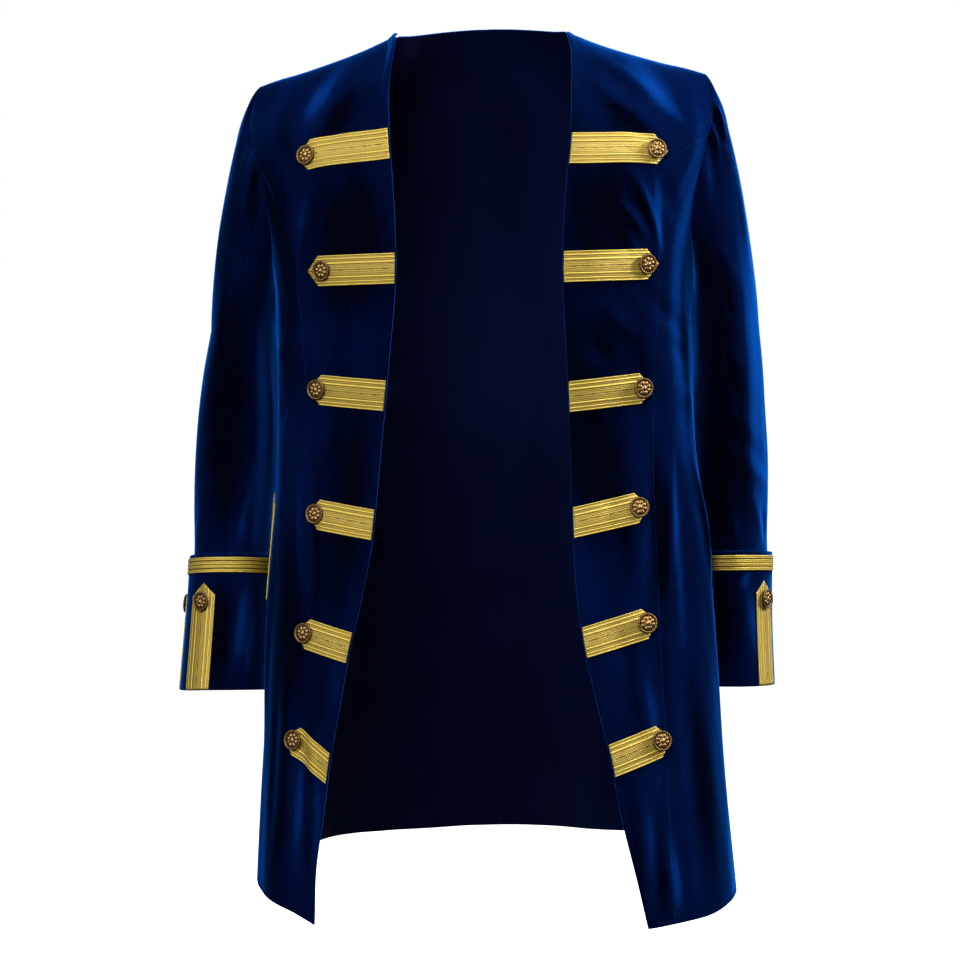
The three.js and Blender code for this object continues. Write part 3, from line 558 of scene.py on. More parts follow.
# ---- The body's surface ---------------------------------------------------------------------------
@dataclass(frozen=True)
class BodyForm:
    """One half of the coat's body, as a surface over turn and level."""

    side: Side

    def half_width(self, level: Array) -> Array:
        """Half the section's width at a level."""
        return BODY[self.side.label](level)

    def turn_at(self, x: Array, level: Array) -> Array:
        """The turn at which a level's section reaches a distance from the centre."""
        share = np.clip(x / self.half_width(level), 0.0, 1.0)
        return np.degrees(np.arcsin(share ** (ROUNDNESS / 2)))

    def plain(self, turn: Array, level: Array) -> Array:
        """The surface without its creases.

        A level section is a superellipse with its own depth to the front and to the back. Towards
        the shoulder it turns over in a quarter circle that ends on the shoulder seam.

        Args:
            turn: degrees round the body.
            level: height of the row of points.

        Returns:
            Points, in millimetres.
        """
        turn, level = np.broadcast_arrays(np.asarray(turn, float), np.asarray(level, float))
        sine, cosine = np.sin(np.radians(turn)), np.cos(np.radians(turn))
        at_back = cosine < 0
        middle = BODY["middle"](level)
        depth = np.where(at_back, BODY["back"](level) - middle, BODY["front"](level) + middle)
        fold = np.zeros(turn.shape)
        for fold_turn, width, rise, start, full in FOLDS[self.side]:
            fold = fold + rise * bell((turn - fold_turn) / width) * ease((start - level) / (start - full))
        x = (self.half_width(level) + fold) * signed_power(sine, 2 / ROUNDNESS)
        flat_y = middle - (depth + fold) * signed_power(cosine, 2 / ROUNDNESS)
        reach = np.abs(x)
        neck = SHOULDER(NECK_HALF) + BACK_NECK_RISE * (1 - (reach / NECK_HALF) ** 2)
        top = np.where(at_back & (reach < NECK_HALF), neck, SHOULDER(reach))
        hem = HEM[self.side.label](turn) * ease((HEM_START - level) / (HEM_START - HEM_LEVEL))
        z = level + top * (1 - ease(-level / FADE_DEPTH)) + hem
        rounding = np.where(at_back, SHOULDER_ROUND_BACK, SHOULDER_ROUND_FRONT)
        sink = np.clip((SHOULDER(reach) - z) / rounding, 0.0, 1.0)
        y = SHOULDER_Y + (flat_y - SHOULDER_Y) * np.sqrt(1 - (1 - sink) ** 2)
        return np.stack([self.side.value * x, y, z], axis=-1)

    def normal(self, turn: Array, level: Array) -> Array:
        """The outward direction, from two short steps along the plain surface.

        Args:
            turn: degrees round the body.
            level: height of the row of points.

        Returns:
            Unit directions.
        """
        step = 0.05
        across = self.plain(turn + step, level) - self.plain(turn - step, level)
        down = self.plain(turn, level - step) - self.plain(turn, level)
        normal = -self.side.value * np.cross(across, down)
        return normal / np.linalg.norm(normal, axis=-1, keepdims=True)

    def relief(self, turn: Array, level: Array) -> Array:
        """How far creases and the cloth's waver move the surface out; none at the shoulder seam.

        Args:
            turn: degrees round the body.
            level: height of the row of points.

        Returns:
            The relief, in millimetres.
        """
        creases = crease_relief([*BODY_CREASES[self.side], *self.front_creases()], turn, level, MM_PER_TURN)
        waver = soft_waver(turn * MM_PER_TURN * self.side.value, level)
        return (creases + waver) * ease(-level / CREASE_START)

    def front_creases(self) -> list[tuple[float, ...]]:
        """The front's creases, with turns in place of distances from the centre."""
        return [(float(self.turn_at(x_a, a)), a, float(self.turn_at(x_b, b)), b, width, rise)
                for x_a, a, x_b, b, width, rise in FRONT_CREASES[self.side]]

    def cell(self, turn: Array, level: Array) -> tuple[Array, Array]:
        """The creased surface's points, and the plain one's directions."""
        normal = self.normal(turn, level)
        return self.plain(turn, level) + normal * self.relief(turn, level)[..., None], normal


# ---- Meshes ---------------------------------------------------------------------------------------
def to_mesh(name: str, points: Array, faces: Array, slots: Array, uv: Array | None) -> bpy.types.Object:
    """Puts quads into a new object at the origin, turned to face outwards.

    Args:
        name: the piece's name.
        points: vertices in millimetres.
        faces: four vertex numbers a row.
        slots: each face's material number.
        uv: each face's corners' coordinates, or None.

    Returns:
        The object.
    """
    metres = points * MM
    corners = metres[faces]
    span = np.cross(corners[:, 2] - corners[:, 0], corners[:, 3] - corners[:, 1])
    if np.einsum("ij,ij->", span, corners.mean(axis=1)) < 0:
        faces = faces[:, ::-1]
        uv = None if uv is None else uv[:, ::-1]
    mesh = bpy.data.meshes.new(name)
    mesh.vertices.add(len(metres))
    mesh.vertices.foreach_set("co", metres.astype(np.float32).ravel())
    mesh.loops.add(faces.size)
    mesh.loops.foreach_set("vertex_index", faces.astype(np.int32).ravel())
    mesh.polygons.add(len(faces))
    mesh.polygons.foreach_set("loop_start", np.arange(0, faces.size, 4, dtype=np.int32))
    mesh.polygons.foreach_set("material_index", slots.astype(np.int32))
    mesh.polygons.foreach_set("use_smooth", np.ones(len(faces), dtype=bool))
    if uv is not None:
        layer = mesh.uv_layers.new(name="cloth")
        layer.uv.foreach_set("vector", uv.astype(np.float32).ravel())
    mesh.update(calc_edges=True)
    mesh.validate()
    piece = bpy.data.objects.new(name, mesh)
    bpy.context.scene.collection.objects.link(piece)
    return piece


def quads(rows: int, columns: int, ring: bool) -> tuple[Array, Array]:
    """The four corners of every cell of a grid.

    Args:
        rows: how many rows of points.
        columns: how many columns.
        ring: whether the last column runs on to column 0.

    Returns:
        The corners' rows and columns, four a cell; a ring's closing column is numbered on, not 0.
    """
    last = columns if ring else columns - 1
    row, column = np.meshgrid(np.arange(rows - 1), np.arange(last), indexing="ij")
    row, column = row.ravel(), column.ravel()
    columns_of = np.stack([column, column + 1, column + 1, column], -1)
    return np.stack([row, row, row + 1, row + 1], -1), columns_of


def wall(name: str, outer: Array, inner: Array, uv: Array | None = None, ring: bool = False,
         nap: Array | None = None) -> bpy.types.Object:
    """A closed wall between two grids of points, with a rim along its open edges.

    Args:
        name: the piece's name.
        outer: the outer face's points, rows by columns.
        inner: the inner face's points.
        uv: coordinates over the outer grid, with one column more than it on a ring.
        ring: whether the last column joins the first.
        nap: painted light and shade, how much lighter each point of the outer grid looks.

    Returns:
        The object: its outer face and rim are material 0 and its inner face is material 1.
    """
    rows, columns = outer.shape[:2]
    layer = rows * columns
    row, column = quads(rows, columns, ring)
    face = row * columns + column % columns
    last = columns if ring else columns - 1
    run = np.arange(last)
    first_row, next_in_row = run, (run + 1) % columns
    bottom = (rows - 1) * columns
    edges = [(next_in_row, first_row), (bottom + first_row, bottom + next_in_row)]
    if not ring:
        down = np.arange(rows - 1) * columns
        right = down + columns - 1
        edges += [(down, down + columns), (right + columns, right)]
    rim = np.concatenate([np.stack([a, b, b + layer, a + layer], -1) for a, b in edges])
    faces = np.concatenate([face, (face + layer)[:, ::-1], rim])
    slots = np.zeros(len(faces))
    slots[len(face) : 2 * len(face)] = 1
    coordinates = None
    if uv is not None:
        front = uv[row, column]
        edge = uv.reshape(-1, 2)[(rim % layer) // columns * uv.shape[1] + (rim % layer) % columns]
        coordinates = np.concatenate([front, front[:, ::-1], edge])
    points = np.concatenate([outer.reshape(-1, 3), inner.reshape(-1, 3)])
    piece = to_mesh(name, points, faces, slots, coordinates)
    # The painted light and shade go into a point attribute that the velvet's colour reads.
    if nap is not None:
        shade = piece.data.attributes.new("nap", "FLOAT", "POINT")
        shade.data.foreach_set("value", np.tile(nap.ravel(), 2).astype(np.float32))
    return piece


def flat_sizes(points: Array) -> tuple[float, float, float]:
    """The size of the flat cut that a grid of points was made from.

    Args:
        points: rows by columns, in millimetres.

    Returns:
        The longest row and the longest column in metres, and the area in square metres.
    """
    across = np.linalg.norm(np.diff(points, axis=1), axis=-1).sum(axis=1).max()
    along = np.linalg.norm(np.diff(points, axis=0), axis=-1).sum(axis=0).max()
    first, second = points[1:, 1:] - points[:-1, :-1], points[1:, :-1] - points[:-1, 1:]
    area = np.linalg.norm(np.cross(first, second), axis=-1).sum() / 2
    return across * MM, along * MM, area * MM * MM


# ---- Shader maths ---------------------------------------------------------------------------------
def arithmetic(operation: str, swapped: bool = False) -> Callable[[Value, Value | float], Value]:
    """An operator of arithmetic that adds a Math node.

    Args:
        operation: the node's operation.
        swapped: whether the other value comes first.

    Returns:
        The method.
    """
    def apply(value: Value, other: Value | float) -> Value:
        """The node's result."""
        return value.shader.math(operation, *((other, value) if swapped else (value, other)))

    return apply


class Value:
    """A number socket, with the operators of arithmetic as Math nodes."""

    def __init__(self, shader: Shader, socket: bpy.types.NodeSocket) -> None:
        """Keeps the socket that gives the number, and the builder of its node tree."""
        self.shader, self.socket = shader, socket

    __add__ = __radd__ = arithmetic("ADD")
    __mul__ = __rmul__ = arithmetic("MULTIPLY")
    __sub__ = arithmetic("SUBTRACT")
    __rsub__ = arithmetic("SUBTRACT", swapped=True)
    __truediv__ = arithmetic("DIVIDE")

    def clamped(self) -> Value:
        """The value held between 0 and 1."""
        return self.shader.math("MAXIMUM", self.shader.math("MINIMUM", self, 1.0), 0.0)

    def smooth(self, low: float, high: float) -> Value:
        """A smooth step from 0 to 1.

        Args:
            low: the value at which it leaves 0.
            high: the value at which it reaches 1.

        Returns:
            The step.
        """
        node = self.shader.add("ShaderNodeMapRange", {"interpolation_type": "SMOOTHSTEP"},
                               Value=self, From_Min=low, From_Max=high)
        return Value(self.shader, node.outputs[0])


@dataclass(frozen=True)
class Noise:
    """A noise texture: waves a metre or a unit of UV, a multiplier for each axis, and octaves."""

    scale: float
    stretch: Triple = (1.0, 1.0, 1.0)
    detail: float = 2.0
    source: str = "Object"


def weighted(values: Sequence[Value], shares: Sequence[float]) -> Value:
    """The sum of some values, each times its share."""
    first, *others = (value * share for value, share in zip(values, shares))
    return sum(others, first)


class Shader:
    """Builds one material's node tree."""

    def __init__(self, name: str) -> None:
        """Starts a material.

        Args:
            name: the material's name.
        """
        self.material = bpy.data.materials.new(name)
        self.material.use_nodes = True
        self.tree = self.material.node_tree
        self.surface = self.tree.nodes["Principled BSDF"]
        self.place = self.tree.nodes.new("ShaderNodeTexCoord").outputs

    def add(self, kind: str, settings: dict[str, object] | None = None, /,
            **sockets: object) -> bpy.types.Node:
        """Any node but a Math node.

        Args:
            kind: the node's type.
            settings: properties, set first; `stops` holds a ramp's (position, colour) pairs.
            sockets: values or links by input name, with _ for a space, or _0, _1 for a numbered input.

        Returns:
            The node.
        """
        node = self.tree.nodes.new(kind)
        for key, value in (settings or {}).items():
            if key == "stops":
                while len(node.color_ramp.elements) < len(value):
                    node.color_ramp.elements.new(1.0)
                for element, (position, colour) in zip(node.color_ramp.elements, value):
                    element.position, element.color = position, (*colour, 1.0)
            else:
                setattr(node, key, value)
        for key, value in sockets.items():
            socket = node.inputs[int(key[1:])] if key[1:].isdigit() else node.inputs[key.replace("_", " ")]
            self.feed(socket, value)
        return node

    def feed(self, socket: bpy.types.NodeSocket, value: object) -> None:
        """Links a socket, or sets its value.

        Args:
            socket: the input.
            value: a value or an output to link, or a constant.
        """
        if isinstance(value, Value):
            self.tree.links.new(value.socket, socket)
        elif isinstance(value, bpy.types.NodeSocket):
            self.tree.links.new(value, socket)
        else:
            socket.default_value = value

    def math(self, operation: str, *values: Value | float) -> Value:
        """A Math node.

        Args:
            operation: the node's operation.
            values: its inputs.

        Returns:
            Its result.
        """
        node = self.tree.nodes.new("ShaderNodeMath")
        node.operation = operation
        for socket, value in zip(node.inputs, values):
            self.feed(socket, value)
        return Value(self, node.outputs[0])

    def noise(self, kind: Noise) -> Value:
        """Noise over the piece.

        Args:
            kind: its size, stretch and detail.

        Returns:
            The noise, 0 to 1.
        """
        mapping = self.add("ShaderNodeMapping", Vector=self.place[kind.source], Scale=kind.stretch)
        node = self.add("ShaderNodeTexNoise", Vector=mapping.outputs[0], Scale=kind.scale,
                        Detail=kind.detail)
        return Value(self, node.outputs[0])

    def uv(self) -> list[Value]:
        """The parts of the piece's UV."""
        parts = self.add("ShaderNodeSeparateXYZ", Vector=self.place["UV"]).outputs
        return [Value(self, part) for part in parts]

    def mix(self, share: Value, low: object, high: object) -> bpy.types.NodeSocket:
        """A colour between two colours."""
        node = self.add("ShaderNodeMix", {"data_type": "RGBA"}, _0=share, _6=low, _7=high)
        return node.outputs[2]

    def bump(self, height: Value, distance: float, strength: float = 1.0) -> None:
        """Feeds the surface's Normal from a height.

        Args:
            height: 0 to 1.
            distance: metres that a height of 1 stands for.
            strength: the node's strength.
        """
        node = self.add("ShaderNodeBump", Height=height, Distance=distance, Strength=strength)
        self.feed(self.surface.inputs["Normal"], node.outputs[0])

    def finish(self, **sockets: object) -> bpy.types.Material:
        """Sets the surface's sockets.

        Args:
            sockets: values or links by input name, with _ for a space.

        Returns:
            The material.
        """
        for key, value in sockets.items():
            self.feed(self.surface.inputs[key.replace("_", " ")], value)
        return self.material


@dataclass(frozen=True)
class Velvet:
    """Cotton velvet: a near-black ground with a nap whose sheen shines blue where it turns away, and painted
    highlights and painted shade in its colour.
    """

    name: str = "royal_velvet"
    deep: Triple = (0.0002, 0.0005, 0.003)
    lit: Triple = (0.0004, 0.0035, 0.028)
    # A painted highlight: the ramp's top colour, reached only through the painted light of the mesh's attribute.
    bright: Triple = (0.001, 0.027, 0.17)
    sheen: Colour = (0.004, 0.14, 0.72, 1)
    lit_nap: float = 0.45
    brush: Noise = Noise(7.0, (1.0, 1.0, 0.4))
    crush: Noise = Noise(36.0, (1.0, 1.0, 0.55), 2.5)
    streak: Noise = Noise(480.0, (1.0, 1.0, 0.06))
    pile: Noise = Noise(1800.0, detail=1.0)
    grain_shares: tuple[float, ...] = (0.6, 0.1, 0.15, 0.15)
    grain_range: tuple[float, float] = (0.34, 0.68)
    grain_nap: float = 0.36
    least_nap: float = 0.1
    relief: float = 0.0008
    relief_shares: Triple = (0.9, 0.06, 0.04)
    relief_strength: float = 0.8
    rough: float = 0.92
    nap_polish: float = 0.1
    sheen_spread: float = 0.3

    def build(self) -> bpy.types.Material:
        """Builds the material: nap brushed in soft upright patches, crushed here and there, over fine pile, with
        painted highlights and painted shade from the mesh's attribute.

        Returns:
            The material.
        """
        shader = Shader(self.name)
        grains = [shader.noise(kind) for kind in (self.brush, self.crush, self.streak, self.pile)]
        grain = weighted(grains, self.grain_shares).smooth(*self.grain_range)
        # Painted highlight and painted shade, read from the mesh's point attribute and added to the grain's tone.
        laid = Value(shader, shader.add("ShaderNodeAttribute", {"attribute_name": "nap"}).outputs["Fac"])
        nap = (grain * self.grain_nap + laid + self.least_nap).clamped()
        stops = ((0.0, self.deep), (self.lit_nap, self.lit), (1.0, self.bright))
        colour = shader.add("ShaderNodeValToRGB", {"stops": stops}, Fac=nap).outputs[0]
        shader.bump(weighted(grains[1:], self.relief_shares), self.relief, self.relief_strength)
        return shader.finish(
            Base_Color=colour, Roughness=self.rough - nap * self.nap_polish, Specular_IOR_Level=0.0,
            Sheen_Weight=1.0, Sheen_Roughness=self.sheen_spread, Sheen_Tint=self.sheen,
        )


@dataclass(frozen=True)
class Lining:
    """Dark satin lining: a fine twill with a soft sheen."""

    name: str = "navy_satin_lining"
    dark: Colour = (0.0004, 0.0009, 0.006, 1)
    light: Colour = (0.0018, 0.004, 0.024, 1)
    gloss: Colour = (0.10, 0.16, 1.0, 1)
    slant: Triple = (0.5, 0.6, 0.9)
    twill_scale: float = 420.0
    twill_waver: float = 0.6
    crease: Noise = Noise(26.0, (1.0, 1.0, 0.5), 3.0)
    shares: tuple[float, float] = (0.3, 0.7)
    relief: float = 0.0012
    relief_strength: float = 0.45
    rough: float = 0.36
    weave_rough: float = 0.1
    shine: float = 0.09

    def build(self) -> bpy.types.Material:
        """Builds the material: a slanted fine weave under broad soft creasing.

        Returns:
            The material.
        """
        shader = Shader(self.name)
        mapping = shader.add("ShaderNodeMapping", Vector=shader.place["Object"], Rotation=self.slant)
        twill = shader.add("ShaderNodeTexWave", Vector=mapping.outputs[0], Scale=self.twill_scale,
                           Distortion=self.twill_waver)
        weave = Value(shader, twill.outputs["Fac"])
        # The colour follows the same height as the bump, lighter on the raised creases: painted highlight over the
        # twill's own tone.
        cloth = weighted((weave, shader.noise(self.crease)), self.shares)
        shader.bump(cloth, self.relief, self.relief_strength)
        return shader.finish(Base_Color=shader.mix(cloth, self.dark, self.light),
                             Roughness=self.rough + weave * self.weave_rough,
                             Specular_IOR_Level=self.shine, Specular_Tint=self.gloss)


@dataclass(frozen=True)
class BraidPattern:
    """A braid's ribs: the brightness of its threads at shares of the way in from edge to middle, which is also their
    height, so the grooves' darkness is partly painted shade.
    """

    width: float
    thick: float
    figured: bool
    stops: Rows

    def height(self, inset: Array) -> Array:
        """Relief at a distance in from the edge, in millimetres: straight lines between the stops."""
        places, levels = zip(*self.stops)
        return self.thick * np.interp(inset / (self.width / 2), places, levels)


WIDE_BRAID = BraidPattern(BRAID_WIDTH, BRAID_THICK, True, (
    (0.0, 0.75), (0.055, 0.95), (0.09, 0.22), (0.13, 0.62), (0.165, 0.36), (0.2, 0.62), (0.235, 1.0),
    (0.275, 0.95), (0.305, 0.05), (0.35, 0.62), (0.42, 0.30), (0.49, 0.62), (0.535, 1.0), (0.585, 0.95),
    (0.615, 0.05), (0.67, 0.62), (0.73, 0.34), (0.79, 0.66), (0.85, 0.36), (0.91, 0.66), (1.0, 0.42),
))
NARROW_BRAID = BraidPattern(BAND_WIDTH, BAND_THICK, False, (
    (0.0, 0.6), (0.1, 0.95), (0.22, 0.62), (0.36, 0.95), (0.46, 0.1), (0.54, 0.1), (0.64, 0.95),
    (0.76, 0.62), (0.9, 0.95), (1.0, 0.1),
))


@dataclass(frozen=True)
class GoldBraid:
    """Metal-thread braid: cords and fine ribs along its length, with a figured middle."""

    name: str
    pattern: BraidPattern
    bright: Colour = (0.60, 0.43, 0.064, 1)
    shade: Colour = (0.035, 0.018, 0.002, 1)
    speck: Noise = Noise(11.0, (1.0, 1.6, 1.0), 3.0, "UV")
    speck_tone: float = 1.5
    thread_pitch: tuple[float, float] = (9.0, 3.0)
    thread_tone: float = 0.12
    tone_drop: float = 0.08
    weave_pitch: tuple[float, float] = (2.3, 2.0)
    weave_tone: float = 0.2
    line_tone: float = 0.45
    line_noise: Noise = Noise(1.5, (1.0, 0.05, 1.0), 2.0, "UV")
    line_breaks: tuple[float, float] = (0.44, 0.58)
    line_range: tuple[float, float] = (0.93, 0.99)
    figure_range: tuple[float, float] = (0.64, 0.7)
    relief: float = 0.0005
    relief_shares: Triple = (0.3, 0.35, 0.35)
    relief_strength: float = 0.6
    metal: float = 0.55
    rough: float = 0.55
    polish: float = 0.12

    def build(self) -> bpy.types.Material:
        """Builds the material. UV is (along, across) in centimetres, with 0 across at the middle.

        Returns:
            The material.
        """
        shader = Shader(self.name)
        along, across = (part * MM_PER_CM for part in shader.uv()[:2])
        share = 1.0 - shader.math("ABSOLUTE", across) / (self.pattern.width / 2)
        # The tone follows the relief: darker in the grooves, which is partly painted shade and partly the braid's own
        # pattern.
        stops = [(place, (tone, tone, tone)) for place, tone in self.pattern.stops]
        ramp = shader.add("ShaderNodeValToRGB", {"stops": stops}, Fac=share)
        ribbed = Value(shader, ramp.outputs[0])
        speck = shader.noise(self.speck)
        threads = shader.math("SINE", weighted((along, across), self.thread_pitch)) * 0.5 + 0.5
        if self.pattern.figured:
            ribbed = ribbed + self.figure(shader, along, across, share)
        tone = ribbed + threads * self.thread_tone + (speck - 0.5) * self.speck_tone - self.tone_drop
        tone = tone.clamped()
        shader.bump(weighted((ribbed, threads, speck), self.relief_shares), self.relief,
                    self.relief_strength)
        return shader.finish(Base_Color=shader.mix(tone, self.shade, self.bright), Metallic=self.metal,
                             Roughness=self.rough - tone * self.polish)

    def figure(self, shader: Shader, along: Value, across: Value, share: Value) -> Value:
        """The middle's pattern: slanted threads that turn back at a broken dark line.

        Args:
            shader: the material's builder.
            along: millimetres along the braid.
            across: millimetres from its middle.
            share: 0 at its edge to 1 at its middle.

        Returns:
            What the pattern adds to the brightness.
        """
        slanted = weighted((along, shader.math("ABSOLUTE", across)), self.weave_pitch)
        weave = shader.math("SINE", slanted)
        broken = shader.noise(self.line_noise).smooth(*self.line_breaks)
        line = share.smooth(*self.line_range) * broken
        return (weave * self.weave_tone - line * self.line_tone) * share.smooth(*self.figure_range)


@dataclass(frozen=True)
class AntiqueGold:
    """Cast button metal, darkened in its hollows and rubbed bright on its high places."""

    name: str = "antique_gold"
    rubbed: Colour = (0.27, 0.16, 0.055, 1)
    dark: Colour = (0.05, 0.026, 0.009, 1)
    mottle: Noise = Noise(900.0, detail=3.0)
    wear_shares: tuple[float, float] = (0.8, 0.4)
    wear_drop: float = 0.12
    wear_range: tuple[float, float] = (0.12, 0.75)
    relief: float = 0.0002
    relief_strength: float = 0.4
    rough: float = 0.5
    polish: float = 0.2

    def build(self) -> bpy.types.Material:
        """Builds the material. UV's first part is the height of the relief, 0 to 1.

        Returns:
            The material.
        """
        shader = Shader(self.name)
        height = shader.uv()[0]
        mottle = shader.noise(self.mottle)
        worn = weighted((height, mottle), self.wear_shares) - self.wear_drop
        wear = worn.smooth(*self.wear_range)
        shader.bump(mottle, self.relief, self.relief_strength)
        return shader.finish(Base_Color=shader.mix(wear, self.dark, self.rubbed), Metallic=1.0,
                             Roughness=self.rough - wear * self.polish)


@dataclass(frozen=True)
class StudioFloor:
    """A plain, very pale matt floor."""

    name: str = "pale_floor"
    glow: float = 0.85
    rough: float = 0.85
    mottle: Noise = Noise(1.3)
    dull: Colour = (0.9, 0.9, 0.9, 1)
    pale: Colour = (0.94, 0.94, 0.94, 1)

    def build(self) -> bpy.types.Material:
        """Builds the material: off-white with the faintest mottling.

        Returns:
            The material.
        """
        shader = Shader(self.name)
        colour = shader.mix(shader.noise(self.mottle), self.dull, self.pale)
        return shader.finish(Base_Color=colour, Roughness=self.rough, Emission_Color=(1, 1, 1, 1),
                             Emission_Strength=self.glow)


# ---- Dressing -------------------------------------------------------------------------------------
class Slot(Enum):
    """The record's finishes."""

    VELVET = "velvet"
    BRAID = "braid"
    BUTTON = "button"


@dataclass(frozen=True)
class Wardrobe:
    """The finishes, built once and shared by the pieces."""

    velvet: bpy.types.Material
    lining: bpy.types.Material
    braid: bpy.types.Material
    band: bpy.types.Material
    button: bpy.types.Material

    def dress(self, piece: bpy.types.Object, node: str, slot: Slot, *materials: bpy.types.Material) -> None:
        """Gives a piece its materials and its place on the coat.

        Args:
            piece: the new piece.
            node: the solid that it stands for.
            slot: the finish it takes.
            materials: its outside, and its inside if it has one.
        """
        for material in materials:
            piece.data.materials.append(material)
        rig.ride(piece, "root")
        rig.replaces(piece, node)
        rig.slot(piece, slot.value)


class Held(Enum):
    """How a sheet of cloth is held."""

    DRAPED = "draped"
    FOLDED = "folded"
    LAID = "laid"


@dataclass(frozen=True)
class Sheet:
    """A sheet of cloth: a wall between two grids of points, and the grid its flat cut is measured on."""

    node: str
    outer: Array
    inner: Array
    cut: Array
    held: Held
    rests_on: str
    nap: Array | None = None
    uv: Array | None = None
    ring: bool = False
    braid_width: float | None = None

    def build(self, wardrobe: Wardrobe, slot: Slot, outside: bpy.types.Material,
              inside: bpy.types.Material) -> None:
        """Makes the piece, dresses it and declares its cut. A braid's own width is the woven one.

        Args:
            wardrobe: the finishes.
            slot: the finish it takes.
            outside: the outer face's material.
            inside: the inner face's material.
        """
        piece = wall(f"{slot.value}_{self.node}", self.outer, self.inner, self.uv, self.ring, self.nap)
        wardrobe.dress(piece, self.node, slot, outside, inside)
        cut = np.concatenate([self.cut, self.cut[:, :1]], axis=1) if self.ring else self.cut
        width, length, area = (round(float(size), 4) for size in flat_sizes(cut))
        length = length if self.braid_width is None else self.braid_width * MM
        area = min(area, width * length)
        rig.sheet(piece, flat=(width, length), held=self.held.value, rests_on=[self.rests_on], area=area)
        log.info("%s: cut %.0f x %.0f mm, %.0f sq cm", piece.name, width / MM, length / MM, area / CM**2)


# ---- Body panels ----------------------------------------------------------------------------------
class Panel(Enum):
    """The four cut pieces of each half of the body."""

    FRONT = "front"
    SIDE_FRONT = "side_front"
    SIDE_BACK = "side_back"
    BACK = "back"


# Steps of the columns from each long edge, and heights of the last rows over the hem, in millimetres.
EDGE_STEPS = np.array([0.0, 0.1, 0.4, 0.9, 1.6, 2.6, 3.8, 4.6, 5.2, 5.8, 6.8, 8.5])
HEM_STEPS = np.array([9.0, 7.6, 6.4, 5.6, 5.0, 4.4, 3.6, 2.6, 1.6, 0.9, 0.4, 0.1, 0.0])
# Levels between which the rows lie close for the armhole, and how far over the hem the skirt's end.
ARMHOLE_TOP, ARMHOLE_FOOT, SKIRT_END = -84.0, -240.0, 12.0


